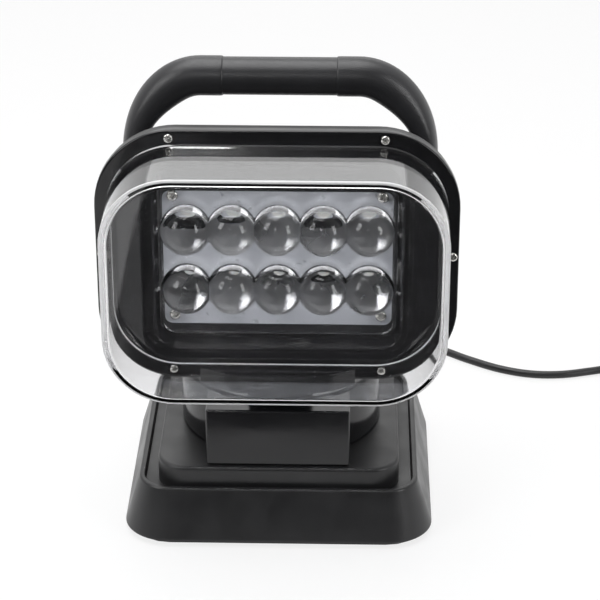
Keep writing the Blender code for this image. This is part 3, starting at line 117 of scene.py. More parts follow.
COVER_X = 0.0834
COVER_Z = 0.0594
COVER_CENTRE_Z = 0.0006
COVER = (COVER_X, COVER_Z, 0.035)
COVER_FRONT = -0.099
COVER_WALL = 0.0025
COVER_DRAFT = 0.0006
COVER_EDGE = 0.0012
COVER_INNER_EDGE = 0.0018
COVER_INNER_DROP = 0.0010
COVER_FOOT_TOP = 0.045
COVER_FOOT_EDGE = 0.0003
COVER_FACE_INSET = 0.0125
FLAT_FACE = 0.00001

LENS_RADIUS = 0.0127
LENS_PITCH_X = 0.0225
LENS_PITCH_Z = 0.032
LENS_CENTRE_Y = -0.050
LENS_CENTRE_Z = -0.0027
LENS_BACK = -0.040
LENS_PLATE_CORNER = 0.0077
RAIL_WIDTH = 0.0019
RAIL_PROUD = 0.0013
FILM_X = 0.0568
FILM_Z = 0.0361
FILM_CENTRE_Z = -0.0049
FILM_CORNER = 0.004
FILM_HOLE = 0.0101
FILM_THICK = 0.0001
FILM_GAP = 0.00015
FILM_PLAY = 0.0001
FILM_MARGIN = 0.0007
CHIP_FOOT = -0.0386
CHIP_FRONT = -0.0399
# The dark carrier's radius differs from ball to ball
CHIP_CARRIERS = (0.0016, 0.0012, 0.0046, 0.0054, 0.0010, 0.0062, 0.0050, 0.0009, 0.0058, 0.0024)
CHIP_LIGHT = 0.0018
# Name, look, radius at each ball, y, thickness and number of sides
CHIP_LAYERS = (
    ("chip_discs", "steel", (FILM_HOLE,) * 10, CHIP_FOOT + 0.0001, 0.00006, 40),
    ("chip_carriers", "gloss_black", CHIP_CARRIERS, CHIP_FOOT - 0.0001, 0.00016, 6),
    ("chip_middles", "nylon", (CHIP_LIGHT,) * 10, CHIP_FRONT - 0.00003, 0.00003, 32),
)

SHELL_FRONT = -0.0487
SHELL_FLANGE_BACK = -0.0440
SHELL_INSET = 0.001
FLANGE_CAP_INSET = 0.012
SHELL_OVERLAP = 0.001
SHELL_WALL = 0.0025
COLLAR = (0.0725, 0.060, 0.020)
COLLAR_BACK = -0.0352
BOWL_X = 0.056
BOWL_Z = 0.050
BOWL_FRONT = -0.046
BOWL_DEPTH = 0.084
BOWL_EDGE = 0.004
SLOT_X = 0.020
SLOT_FRONT = -0.027
SLOT_TOP = 0.0175
BOSS_RADIUS = 0.009

HANDLE_X = 0.0695
HANDLE_TOP = 0.0748
HANDLE_RADIUS = 0.010
HANDLE_BEND_X = 0.030
HANDLE_BEND_Z = 0.040
HANDLE_FOOT = -0.012
GRIP_HALF = 0.0285
GRIP_SHARE = 0.95
HANDLE_SEAT = 0.0772
# How far each ring lies above the foot, or outside the grip, and its share of the full thickness
HANDLE_FOOT_SHARES = ((0, 0.55), (0.0004, 0.80), (0.0015, 0.95), (0.0032, 1.0))
GRIP_EDGE_SHARES = ((0.0012, 1.0), (0.0004, 0.992), (0, 0.975), (-0.0002, GRIP_SHARE))
HANDLE_BEND_STEPS = 26
HANDLE_SIDES = 72
SEAM_SIDE = 26
SEAM_PROUD = 1.015
# The legs get flatter over the first span of heights, and round again over the second
HANDLE_FLATTENS = (0.012, 0.032)
HANDLE_ROUNDS = (0.072, 0.040)
HANDLE_FLAT_THICK = 0.0062
HANDLE_FLAT_DEEP = 0.0110
HANDLE_SQUARE = 0.8

# Screws: places in the head's plane, and (head radius, shank radius, length)
COVER_SCREW_PLACES = (
    (-0.052, 0.063),
    (0.052, 0.063),
    (-0.052, -0.0616),
    (0.052, -0.0616),
    (-0.086, 0.002),
    (0.086, 0.002),
)
COVER_SCREW = (0.0022, 0.0012, 0.0095)
LENS_SCREW_PLACE = (0.0515, 0.03225)
LENS_SCREW = (0.0028, 0.0012, 0.0055)
HANDLE_SCREW_HEAD = 0.0036
HANDLE_SCREW_SHANK = 0.0018
HANDLE_SCREW = (HANDLE_SCREW_HEAD, HANDLE_SCREW_SHANK, 0.024)
HANDLE_SCREW_GAP = 0.0001

# How finely curves are divided
CORNER_STEPS = 16
ARC_STEPS = 48
ROUND_STEPS = 96

# Limits: the smallest corner radius, and how much of the way to its neighbour a rounding takes
SHARPEST_CORNER = 0.0002
LONGEST_CUT = 0.45

# The reach of pieces that only cut
CUT_REACH = 0.02
ACROSS = 0.3

# Supply cord
CORD_DIAMETER = 0.0045
CORD_EXIT = (0.0200, 0.0925, 0.0135)
CORD_ROUTE = (
    (0.0200, 0.0925, 0.0135),
    (0.0205, 0.1040, 0.0124),
    (0.0230, 0.1180, 0.0074),
    (0.0290, 0.1320, 0.00330),
    (0.0400, 0.1450, 0.00235),
    (0.0550, 0.1530, 0.00230),
    (0.0720, 0.1540, 0.00230),
    (0.0860, 0.1490, 0.00230),
    (0.0960, 0.1420, 0.00230),
    (0.1060, 0.1340, 0.00230),
    (0.1240, 0.1222, 0.00230),
    (0.1420, 0.1158, 0.00230),
    (0.1600, 0.1155, 0.00230),
    (0.1780, 0.1202, 0.00230),
    (0.1960, 0.1262, 0.00230),
    (0.2130, 0.1304, 0.00230),
    (0.2270, 0.1321, 0.00230),
    (0.2400, 0.1324, 0.00230),
)
COIL_CENTRE = (0.240, 0.100)
COIL_INNER = 0.018
COIL_OUTER = 0.0324
COIL_LEAVE = 0.025
COIL_PITCH = 0.0048
COIL_LAYER = 0.00456
COIL_CLIMBS = 3
COIL_CLIMB_ANGLE = 95.0
COIL_STEP = 10.0
CORD_TAIL = (
    (0.2650, 0.0900, 0.01598),
    (0.2650, 0.0800, 0.0158),
    (0.2650, 0.0725, 0.0141),
    (0.2650, 0.0680, 0.0120),
    (0.2650, 0.0644, 0.0110),
)
ROUTE_STEPS = 24
ROUTE_SPACING = 0.003
RELIEF_TIP = 0.0200
RELIEF_SUNK = 0.0204
PLUG_PLACE = (0.2650, 0.0641, 0.0110)
TIE_PLAY = 0.0005
TIE_SQUASH = 0.6
TIE_CORNER = 0.0024
TIE_ANGLE = 20

CLEAR_SHADE = (0.97, 0.97, 0.975, 1)

CAMERA_LENS = 135
CAMERA_SENSOR = 36
CAMERA_PLACE = (0.0345, -1.0562, 0.6160)
CAMERA_AIM = (0.0099, 0.0002, 0.1049)

# The studio. The floor rises into a backdrop behind the object. A lamp has a name, a place,
# its two sides and its power.
FLOOR_GLOW = 0.78
FLOOR_PROFILE = ((-0.17, 0), (1.6, 0), (1.9, 0.03), (2.15, 0.12), (2.3, 0.3), (2.35, 0.6), (2.35, 3.2))
FLOOR_ROWS = [[(x, y, z) for x in (-2.2, 2.2)] for y, z in FLOOR_PROFILE]
FLOOR_LEFT_ROWS = [[(x, y, 0) for y in (-0.9, -0.2)] for x in (-0.7, -0.11)]
ROOM_FRONT = 0.06
ROOM_BACK = 0.9
ROOM_DARK_FROM = -0.5
ROOM_LIGHT_FROM = 0.3
LAMP_AIM = (0, 0, 0.13)
LAMPS = (
    ("lamp_over", (-0.15, 0.10, 1.30), (1.1, 1.0), 13.0),
    ("lamp_left", (-1.10, -0.75, 0.95), (0.5, 0.8), 7.0),
    ("lamp_right", (0.95, -0.70, 0.55), (0.30, 0.75), 5.0),
    ("lamp_front", (-0.16, -1.20, 0.80), (0.14, 0.14), 1.2),
    ("lamp_back", (0.0, 1.9, 1.25), (1.8, 0.8), 4.2),
)


def link(obj):
    bpy.context.scene.collection.objects.link(obj)
    return obj


def camera():
    data = bpy.data.cameras.new("photo_camera")
    data.lens = CAMERA_LENS
    data.sensor_width = CAMERA_SENSOR
    made = link(bpy.data.objects.new("photo_camera", data))
    made.location = CAMERA_PLACE
    aim = Vector(CAMERA_AIM) - made.location
    made.rotation_euler = aim.to_track_quat("-Z", "Y").to_euler()
    bpy.context.scene.camera = made


def smooth_route(points):
    """Points at an even spacing along a smooth curve through the given points."""

    def between(a, b, c, d, t):
        square = (2 * a - 5 * b + 4 * c - d) * t * t
        return 0.5 * (2 * b + (c - a) * t + square + (3 * b - a - 3 * c + d) * t**3)

    dense = []
    for i in range(len(points) - 1):
        before = points[max(i - 1, 0)]
        after = points[min(i + 2, len(points) - 1)]
        near = list(zip(before, points[i], points[i + 1], after))
        for step in range(ROUTE_STEPS):
            dense.append(tuple(between(*values, step / ROUTE_STEPS) for values in near))
    dense.append(points[-1])
    even = [dense[0]]
    walked = 0.0
    for first, second in zip(dense, dense[1:]):
        walked += math.dist(first, second)
        if walked >= ROUTE_SPACING:
            even.append(second)
            walked = 0.0
    if math.dist(even[-1], dense[-1]) < ROUTE_SPACING / 2:
        even.pop()
    even.append(dense[-1])
    return even


def eased(share):
    """A share from 0 to 1 that starts and ends gently."""
    return share * share * (3 - 2 * share)


def coil_points():
    """The turns, from the outside of the lowest layer. The angle runs clockwise from +Y."""
    layer_angle = 360 * (COIL_OUTER - COIL_INNER) / COIL_PITCH
    stages = []
    radius = COIL_OUTER
    for layer in range(COIL_CLIMBS):
        other = COIL_INNER if layer % 2 == 0 else COIL_OUTER
        stages.append((layer_angle, radius, other, layer, layer))
        stages.append((COIL_CLIMB_ANGLE, other, other, layer, layer + 1))
        radius = other
    last_angle = 360 * (COIL_LEAVE - COIL_INNER) / COIL_PITCH
    stages.append((last_angle, radius, COIL_LEAVE, COIL_CLIMBS, COIL_CLIMBS))
    points = []
    passed = 0.0
    for angle, start, end, low, high in stages:
        steps = max(1, round(angle / COIL_STEP))
        for step in range(steps):
            share = step / steps
            turn = math.radians(passed + share * angle)
            at = start + (end - start) * share
            x = COIL_CENTRE[0] + at * math.sin(turn)
            y = COIL_CENTRE[1] + at * math.cos(turn)
            points.append((x, y, CORD_ROUTE[-1][2] + COIL_LAYER * (low + (high - low) * eased(share))))
        passed += angle
    return points


def cord_points():
    leave = (COIL_CENTRE[0] + COIL_LEAVE, COIL_CENTRE[1], CORD_TAIL[0][2])
    return smooth_route(CORD_ROUTE)[:-1] + coil_points() + smooth_route((leave, *CORD_TAIL))


def add_node(tree, kind, inputs=None, **settings):
    """A new shader node. Its inputs, by name or number, take a value or another node's socket."""
    made = tree.nodes.new(kind)
    for name, value in settings.items():
        setattr(made, name, value)
    for name, value in (inputs or {}).items():
        if isinstance(value, bpy.types.NodeSocket):
            tree.links.new(value, made.inputs[name])
        else:
            made.inputs[name].default_value = value
    return made


def maths(tree, operation, first, second):
    """What a maths node makes of two values or sockets."""
    return add_node(tree, "ShaderNodeMath", {0: first, 1: second}, operation=operation).outputs[0]


def output_mix(tree, output, share, first, second):
    """Sends a mix of two shader nodes to the output of that name."""
    inputs = {0: share, 1: first.outputs[0], 2: second.outputs[0]}
    mix = add_node(tree, "ShaderNodeMixShader", inputs)
    tree.links.new(mix.outputs[0], tree.nodes[output].inputs["Surface"])


class Shader:
    """One procedural material under construction."""

    def __init__(self, name, colour, roughness, **sockets):
        self.material = bpy.data.materials.new(name)
        self.material.use_nodes = True
        self.tree = self.material.node_tree
        self.shader = self.tree.nodes["Principled BSDF"]
        self.shader.inputs["Base Color"].default_value = (*colour, 1)
        self.shader.inputs["Roughness"].default_value = roughness
        for socket, value in sockets.items():
            self.shader.inputs[socket.replace("_", " ")].default_value = value
        self.colour = colour
        self.place = add_node(self.tree, "ShaderNodeTexCoord").outputs["Object"]

    def noise(self, scale, detail=3.0, stretch=None):
        place = self.place
        if stretch:
            mapping = add_node(self.tree, "ShaderNodeMapping", {"Vector": place, "Scale": stretch})
            place = mapping.outputs["Vector"]
        inputs = {"Vector": place, "Scale": scale, "Detail": detail}
        return add_node(self.tree, "ShaderNodeTexNoise", inputs).outputs["Fac"]

    def cells(self, scale):
        inputs = {"Vector": self.place, "Scale": scale}
        return add_node(self.tree, "ShaderNodeTexVoronoi", inputs).outputs["Distance"]

    def spread(self, value, low, high):
        """A value between low and high that follows the middle range of a texture."""
        inputs = {"Value": value, "From Min": 0.3, "From Max": 0.7, "To Min": low, "To Max": high}
        return add_node(self.tree, "ShaderNodeMapRange", inputs).outputs["Result"]

    def rough(self, value, low, high):
        self.tree.links.new(self.spread(value, low, high), self.shader.inputs["Roughness"])
        return self

    def tint(self, value, low, high):
        """Varies the base colour between two shares of itself."""
        inputs = {
            "A": (*(c * low for c in self.colour), 1),
            "B": (*(min(c * high, 1) for c in self.colour), 1),
            "Factor": self.spread(value, 0, 1),
        }
        mix = add_node(self.tree, "ShaderNodeMix", inputs, data_type="RGBA")
        self.tree.links.new(mix.outputs["Result"], self.shader.inputs["Base Color"])
        return self

    def bump(self, value, distance, strength):
        inputs = {"Distance": distance, "Strength": strength, "Height": value}
        made = add_node(self.tree, "ShaderNodeBump", inputs)
        self.tree.links.new(made.outputs["Normal"], self.shader.inputs["Normal"])
        return self

    def clear_to_lamps(self):
        """Lets the lamps' rays through clear plastic, so that they reach what is behind it."""
        shaded = add_node(self.tree, "ShaderNodeLightPath").outputs["Is Shadow Ray"]
        through = add_node(self.tree, "ShaderNodeBsdfTransparent", {"Color": CLEAR_SHADE})
        output_mix(self.tree, "Material Output", shaded, self.shader, through)
        return self


def gloss_black():
    made = Shader("gloss_black", (0.0075, 0.0075, 0.0085), 0.12, IOR=1.47)
    made.rough(made.noise(38, 4), 0.10, 0.19)
    made.tint(made.noise(22), 0.85, 1.2)
    return made.bump(made.noise(260, 2), 0.00004, 0.35)


def satin_black():
    made = Shader("satin_black", (0.013, 0.013, 0.014), 0.38, IOR=1.5)
    made.rough(made.noise(60, 4), 0.30, 0.45)
    made.tint(made.noise(30), 0.85, 1.2)
    return made.bump(made.cells(1500), 0.00003, 0.5)


def grip_black():
    made = Shader("grip_black", (0.022, 0.022, 0.024), 0.42, IOR=1.5)
    made.rough(made.noise(900, 3), 0.28, 0.44)
    made.tint(made.noise(40), 0.85, 1.25)
    return made.bump(made.cells(1900), 0.00005, 0.8)


def cord_black():
    made = Shader("cord_black", (0.010, 0.010, 0.011), 0.40, IOR=1.5)
    made.rough(made.noise(120, 3), 0.34, 0.48)
    made.tint(made.noise(90), 0.85, 1.2)
    return made.bump(made.noise(900, 2), 0.00004, 0.5)


def rubber():
    made = Shader("rubber", (0.018, 0.018, 0.018), 0.75)
    made.rough(made.noise(200, 4), 0.68, 0.86)
    made.tint(made.noise(70), 0.8, 1.25)
    return made.bump(made.noise(700, 3), 0.00008, 0.7)


def clear_cover():
    made = Shader("clear_cover", (0.985, 0.985, 0.99), 0.02, IOR=1.49, Transmission_Weight=1.0)
    made.rough(made.noise(30, 4), 0.012, 0.045)
    made.bump(made.noise(55, 2), 0.00003, 0.25)
    return made.clear_to_lamps()


def clear_edge():
    made = Shader("clear_edge", (0.93, 0.93, 0.94), 0.4, IOR=1.49, Transmission_Weight=0.35)
    made.rough(made.noise(300, 3), 0.3, 0.5)
    return made.bump(made.noise(400, 2), 0.00003, 0.3)


def clear_lens():
    made = Shader("clear_lens", (0.97, 0.975, 0.99), 0.01, IOR=1.49, Transmission_Weight=1.0)
    made.rough(made.noise(40, 3), 0.004, 0.02)
    made.bump(made.noise(70, 2), 0.00002, 0.2)
    return made.clear_to_lamps()


def reflector():
    made = Shader("reflector", (0.56, 0.575, 0.60), 0.34, Metallic=0.25)
    made.rough(made.noise(240, 4), 0.26, 0.42)
    made.tint(made.noise(50, 4), 0.85, 1.1)
    return made.bump(made.noise(600, 3), 0.00003, 0.5)


def aluminium():
    made = Shader("aluminium", (0.70, 0.71, 0.73), 0.38, Metallic=1.0)
    made.rough(made.noise(120, 4, (1, 1, 12)), 0.30, 0.48)
    made.tint(made.noise(60, 4), 0.85, 1.1)
    return made.bump(made.noise(400, 3, (1, 1, 10)), 0.00003, 0.5)


def steel():
    made = Shader("steel", (0.58, 0.58, 0.58), 0.28, Metallic=1.0)
    made.rough(made.noise(150, 4), 0.22, 0.40)
    made.tint(made.noise(70, 4), 0.8, 1.1)
    return made.bump(made.noise(500, 3), 0.00003, 0.4)


def screw_steel():
    made = Shader("screw_steel", (0.74, 0.73, 0.70), 0.22, Metallic=1.0)
    made.rough(made.noise(500, 3), 0.16, 0.32)
    made.tint(made.noise(220, 3), 0.82, 1.1)
    return made.bump(made.noise(900, 3), 0.00002, 0.5)


def nylon():
    made = Shader("nylon", (0.74, 0.73, 0.68), 0.45, Subsurface_Weight=0.1, Subsurface_Scale=0.002)
    made.rough(made.noise(90, 3), 0.38, 0.55)
    made.tint(made.noise(60), 0.92, 1.05)
    return made.bump(made.noise(500, 2), 0.00003, 0.4)


def board():
    made = Shader("board", (0.02, 0.12, 0.05), 0.35)
    made.rough(made.noise(200, 3), 0.28, 0.45)
    made.tint(made.cells(260), 0.7, 1.3)
    return made.bump(made.cells(300), 0.00006, 0.5)


def white_floor():
    """Floor and backdrop, which show as white to the camera, in mirrors and through glass."""
    floor = Shader("studio_floor", (0.86, 0.86, 0.865), 0.6)
    floor.tint(floor.noise(3, 2), 0.99, 1.01)
    rays = add_node(floor.tree, "ShaderNodeLightPath").outputs
    seen = rays["Is Camera Ray"]
    for kind in ("Is Glossy Ray", "Is Transmission Ray"):
        seen = maths(floor.tree, "MAXIMUM", seen, rays[kind])
    share = maths(floor.tree, "MULTIPLY", seen, FLOOR_GLOW)
    white = add_node(floor.tree, "ShaderNodeEmission")
    output_mix(floor.tree, "Material Output", share, floor.shader, white)
    for name, rows in (("studio_floor", FLOOR_ROWS), ("studio_floor_left", FLOOR_LEFT_ROWS)):
        ground = from_rows(name, rows)
        ground.data.materials.append(floor.material)


def room():
    """A room that is darker in front, and white where it is seen directly or through glass."""
    world = bpy.data.worlds.new("studio_room")
    bpy.context.scene.world = world
    world.use_nodes = True
    tree = world.node_tree
    where = add_node(tree, "ShaderNodeTexCoord").outputs["Generated"]
    inputs = {
        "Value": add_node(tree, "ShaderNodeSeparateXYZ", {0: where}).outputs["Y"],
        "From Min": ROOM_DARK_FROM,
        "From Max": ROOM_LIGHT_FROM,
        "To Min": ROOM_FRONT,
        "To Max": ROOM_BACK,
    }
    depth = add_node(tree, "ShaderNodeMapRange", inputs)
    lit = tree.nodes["Background"]
    lit.inputs["Color"].default_value = (1, 1, 1, 1)
    tree.links.new(depth.outputs["Result"], lit.inputs["Strength"])
    white = add_node(tree, "ShaderNodeBackground", {"Color": (1, 1, 1, 1)})
    rays = add_node(tree, "ShaderNodeLightPath").outputs
    # A ray is straight as long as nothing has scattered or mirrored it
    bounces = maths(tree, "ADD", rays["Diffuse Depth"], rays["Glossy Depth"])
    straight = maths(tree, "LESS_THAN", bounces, 0.5)
    through = maths(tree, "MULTIPLY", rays["Is Transmission Ray"], straight)
    seen = maths(tree, "MAXIMUM", rays["Is Camera Ray"], through)
    output_mix(tree, "World Output", seen, lit, white)


def studio():
    """The floor, the room round it and five lamps."""
    white_floor()
    room()
    for name, place, size, power in LAMPS:
        data = bpy.data.lights.new(name, "AREA")
        data.shape = "RECTANGLE"
        data.size, data.size_y = size
        data.energy = power
        lamp = link(bpy.data.objects.new(name, data))
        lamp.location = place
        aim = Vector(LAMP_AIM) - lamp.location
        lamp.rotation_euler = aim.to_track_quat("-Z", "Y").to_euler()


def rounded_rectangle(half_u, half_v, radius):
    radius = max(radius, SHARPEST_CORNER)
    points = []
    for corner, (side_u, side_v) in enumerate(((1, 1), (-1, 1), (-1, -1), (1, -1))):
        for step in range(CORNER_STEPS + 1):
            angle = math.radians(90 * (corner + step / CORNER_STEPS))
            u = side_u * (half_u - radius) + radius * math.cos(angle)
            points.append((u, side_v * (half_v - radius) + radius * math.sin(angle)))
    return points


def inset(outline, by):
    """An outline (half width, half height, corner) made smaller all round."""
    return tuple(value - by for value in outline)


def filleted(sections, cuts, steps=4):
    """Rounds the sections off towards their neighbours, each by its own cut length."""

    def bent(start, corner, end, t):
        return (1 - t) ** 2 * start + 2 * t * (1 - t) * corner + t * t * end

    made = []
    for i, (here, cut) in enumerate(zip(sections, cuts)):
        if not cut:
            made.append(here)
            continue
        ends = []
        for other in (sections[i - 1], sections[(i + 1) % len(sections)]):
            reach = math.hypot(other[0] - here[0], other[3] - here[3])
            reach = max(reach, math.hypot(other[1] - here[1], other[3] - here[3]))
            share = min(cut / reach, LONGEST_CUT)
            ends.append([h + (o - h) * share for h, o in zip(here, other)])
        for step in range(steps + 1):
            t = step / steps
            made.append(tuple(bent(*values, t) for values in zip(ends[0], here, ends[1])))
    return made


def head_rows(sections):
    """Sections (half x, half z, corner, y, centre z) as points of the head at rest."""
    return [
        [(x, y, TILT_HEIGHT + centre + z) for x, z in rounded_rectangle(half_x, half_z, corner)]
        for half_x, half_z, corner, y, centre in sections
    ]


def floor_rows(sections):
    """Sections (half x, half y, corner, z) as points."""
    return [
        [(x, y, z) for x, y in rounded_rectangle(half_x, half_y, corner)]
        for half_x, half_y, corner, z in sections
    ]


def from_bmesh(name, bm):
    bmesh.ops.recalc_face_normals(bm, faces=bm.faces)
    mesh = bpy.data.meshes.new(name)
    bm.to_mesh(mesh)
    bm.free()
    return link(bpy.data.objects.new(name, mesh))


def mesh_corners(bm, rows):
    return [[bm.verts.new(point) for point in row] for row in rows]


def skin(bm, first, second, closed=True):
    """Faces between two rows of corners."""
    for i in range(len(first) if closed else len(first) - 1):
        j = (i + 1) % len(first)
        bm.faces.new((first[i], first[j], second[j], second[i]))


def from_rows(name, rows):
    """An open skin through rows of points."""
    bm = bmesh.new()
    made = mesh_corners(bm, rows)
    for first, second in zip(made, made[1:]):
        skin(bm, first, second, closed=False)
    return smoothed(from_bmesh(name, bm))


def loft(name, rows, ring=False):
    """Skins rings of points, with caps at both ends, or closed on itself."""
    bm = bmesh.new()
    made = mesh_corners(bm, rows)
    for first, second in zip(made, made[1:]):
        skin(bm, first, second)
    if ring:
        skin(bm, made[-1], made[0])
    else:
        bm.faces.new(made[0])
        bm.faces.new(made[-1])
    return from_bmesh(name, bm)


def full_turn(steps):
    return [math.tau * i / steps for i in range(steps)]


def turned(name, profile, steps=ROUND_STEPS):
    """A solid of revolution about Z, from (radius, z) points that start and end on the axis."""
    rows = []
    for radius, z in profile[1:-1]:
        rows.append([(radius * math.cos(a), radius * math.sin(a), z) for a in full_turn(steps)])
    bm = bmesh.new()
    made = mesh_corners(bm, rows)
    for first, second in zip(made, made[1:]):
        skin(bm, first, second)
    for (_, z), row in ((profile[0], made[0]), (profile[-1], made[-1])):
        middle = bm.verts.new((0, 0, z))
        for i in range(steps):
            bm.faces.new((row[i], row[(i + 1) % steps], middle))
    return from_bmesh(name, bm)


def cylinder(name, radius, depth, centre, axis="Z", steps=ROUND_STEPS):
    half = depth / 2
    made = turned(name, [(0, half), (radius, half), (radius, -half), (0, -half)], steps)
    return placed(made, centre, {"X": (1, 0, 0), "Y": (0, 1, 0), "Z": (0, 0, 1)}[axis])


def placed(obj, centre, direction):
    """Moves a piece that was made about Z to its place, with Z along a direction."""
    turn = Vector(direction).to_track_quat("Z", "Y").to_matrix().to_4x4()
    obj.data.transform(Matrix.Translation(centre) @ turn)
    return obj


def box(name, size, centre):
    bm = bmesh.new()
    bmesh.ops.create_cube(bm, size=1.0)
    bmesh.ops.scale(bm, vec=size, verts=bm.verts)
    bmesh.ops.translate(bm, vec=centre, verts=bm.verts)
    return from_bmesh(name, bm)


def prism(name, outline, width, edge=0.0, segments=3):
    """An outline of (y, z) points across X, with rounded edges."""
    made = loft(name, [[(x, y, z) for y, z in outline] for x in (-width / 2, width / 2)])
    return bevelled(made, edge, segments) if edge else made


def bevelled(obj, width, segments=3):
    modifier = obj.modifiers.new("edges", "BEVEL")
    modifier.width = width
    modifier.segments = segments
    modifier.limit_method = "ANGLE"
    modifier.angle_limit = math.radians(30)
    return applied(obj)


def joined(name, parts):
    """One mesh of several loose parts."""
    bm = bmesh.new()
    for part in parts:
        bm.from_mesh(part.data)
        bpy.data.objects.remove(part)
    return from_bmesh(name, bm)


def evaluated_mesh(obj):
    bpy.context.view_layer.update()
    graph = bpy.context.evaluated_depsgraph_get()
    return bpy.data.meshes.new_from_object(obj.evaluated_get(graph))


def applied(obj):
    """Puts what the modifiers make into the mesh."""
    mesh = evaluated_mesh(obj)
    obj.modifiers.clear()
    obj.data = mesh
    return obj


def combined(obj, operation, *others):
    """Unites a solid with others, or cuts them out of it, and removes them."""
    for other in others:
        modifier = obj.modifiers.new(operation.lower(), "BOOLEAN")
        modifier.operation = operation
        modifier.object = other
    applied(obj)
    for other in others:
        bpy.data.objects.remove(other)
    return obj


def smoothed(obj, angle=38.0):
    obj.data.polygons.foreach_set("use_smooth", [True] * len(obj.data.polygons))
    obj.data.set_sharp_from_angle(angle=math.radians(angle))
    modifier = obj.modifiers.new("even_normals", "WEIGHTED_NORMAL")
    modifier.keep_sharp = True
    return obj


def piece(obj, body, look, *nodes):
    """Dresses a new piece, hangs it on the empty of the body it rides on, and hides the CAD nodes it
    stands for.
    """
    obj.data.materials.clear()
    obj.data.materials.append(LOOKS[look])
    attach(obj, body)
    if nodes:
        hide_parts(*nodes)
    return obj


def add_line(data, points):
    """A straight-sided line through points, in a curve's data."""
    spline = data.splines.new("POLY")
    spline.points.add(len(points) - 1)
    for point, place in zip(spline.points, points):
        point.co = (*place, 1)
    return spline


def supply_cord():
    points = cord_points()
    data = bpy.data.curves.new("supply_cord", "CURVE")
    data.dimensions = "3D"
    data.bevel_depth = CORD_DIAMETER / 2
    data.bevel_resolution = 6
    data.use_fill_caps = True
    add_line(data, points)
    cord = link(bpy.data.objects.new("supply_cord", data))
    length = sum(math.dist(a, b) for a, b in zip(points, points[1:]))
    print(f"cord length {length:.4f}")
    return piece(cord, "base", "cord_black", "power_cord", "cord_coil", "cord_tail")


def strain_relief():
    """The tapered relief at the back wall of the base, with grooves round it."""
    grooves = 6
    pitch = 0.0026
    taper = 0.00028
    deep = 0.0006
    profile = [(0, RELIEF_TIP), (0.0027, RELIEF_TIP), (0.0031, 0.0196)]
    for i in range(grooves):
        out = 0.0178 - i * pitch
        radius = 0.0032 + i * taper
        profile += [(radius, out + 0.0008), (radius, out), (radius - deep, out - 0.0004)]
        profile += [(radius - deep, out - 0.0012), (radius + 0.0002, out - 0.0016)]
    profile += [(0.0050, 0.0018), (0.0050, -0.0055), (0.0068, -0.0056), (0.0070, -0.0060)]
    profile += [(0.0070, -0.0084), (0.0066, -0.0086), (0, -0.0086)]
    relief = turned("strain_relief", profile, 48)
    placed(relief, (CORD_EXIT[0], CORD_EXIT[1] - RELIEF_SUNK, CORD_EXIT[2]), (0, 1, 0))
    return piece(smoothed(relief, 50), "base", "rubber", "cable_gland")


def plug():
    """The 12 volt plug's body, lying beside the coil: ribbed relief, grip with rings, and nose."""
    ribs = 4
    rib_pitch = 0.0026
    taper = 0.0011
    deep = 0.0006
    profile = [(0, 0), (0.0032, 0), (0.0036, -0.0004)]
    for i in range(ribs):
        start = -0.0010 - i * rib_pitch
        radius = 0.0040 + i * taper
        profile += [(radius, start), (radius, start - 0.0012), (radius - deep, start - 0.0015)]
        profile += [(radius - deep, start - 0.0022)]
    grip = 0.0110
    profile += [(0.0090, -0.0116), (0.0105, -0.0122), (grip, -0.0130)]
    rings = 6
    ring_pitch = 0.0034
    ring = 0.0105
    for i in range(rings):
        start = -0.0170 - i * ring_pitch
        profile += [(grip, start), (ring, start - 0.0004)]
        profile += [(ring, start - 0.0012), (grip, start - 0.0016)]
    profile += [(grip, -0.0450), (0.0107, -0.0458), (0.0103, -0.0462), (0.0103, -0.0722)]
    profile += [(0.0098, -0.0736), (0.0088, -0.0740), (0, -0.0740)]
    body = turned("plug_body_detail", profile, 64)
    placed(body, PLUG_PLACE, (0, 1, 0))
    return piece(smoothed(body, 40), "base", "gloss_black", "plug_body")


def coil_tie():
    """A strap round the turns, on the side away from the plug."""
    half_wide = 0.004
    thick = 0.0010
    middle = (COIL_INNER + COIL_OUTER) / 2
    half_u = (COIL_OUTER - COIL_INNER) / 2 + CORD_DIAMETER / 2 + TIE_PLAY
    height = CORD_ROUTE[-1][2] + COIL_CLIMBS * COIL_LAYER + CORD_DIAMETER / 2
    rows = []
    for grown, shift in ((0, -half_wide), (thick, -half_wide), (thick, half_wide), (0, half_wide)):
        half_v = height / 2 + grown * TIE_SQUASH
        outline = rounded_rectangle(half_u + grown, half_v, TIE_CORNER + grown)
        rows.append([(-(middle + u), shift, half_v + v) for u, v in outline])
    tie = loft("coil_tie", rows, ring=True)
    turn = Matrix.Rotation(math.radians(TIE_ANGLE), 4, "Z")
    tie.data.transform(Matrix.Translation((*COIL_CENTRE, 0)) @ turn)
    return piece(smoothed(bevelled(tie, 0.0003, 2), 40), "base", "rubber")


def screw(node, size, centre, direction, turn):
    """A pan head screw of the lamp head, with a cross recess, turned to its own angle."""
    name = f"{node}_detail"
    head, shank, length = size
    tall = head * 0.6
    rim = 0.25
    dome_steps = 8
    profile = [(0, tall)]
    for i in range(1, dome_steps + 1):
        angle = math.radians(90 * i / dome_steps)
        z = tall * (rim + (1 - rim) * math.cos(angle) ** 0.7)
        profile.append((head * math.sin(angle) ** 0.8, z))
    profile += [(head, 0), (shank, 0), (shank, -length), (0, -length)]
    made = turned(name, profile, 40)
    long = head * 1.15
    short = head * 0.24
    bars = [
        box(f"{name}_recess", (*bar, tall * 1.1), (0, 0, tall))
        for bar in ((long, short), (short, long))
    ]
    combined(made, "DIFFERENCE", *bars)
    made.data.transform(Matrix.Rotation(math.radians(turn), 4, "Z"))
    placed(made, centre, direction)
    return piece(smoothed(made, 32), "head", "screw_steel", node)


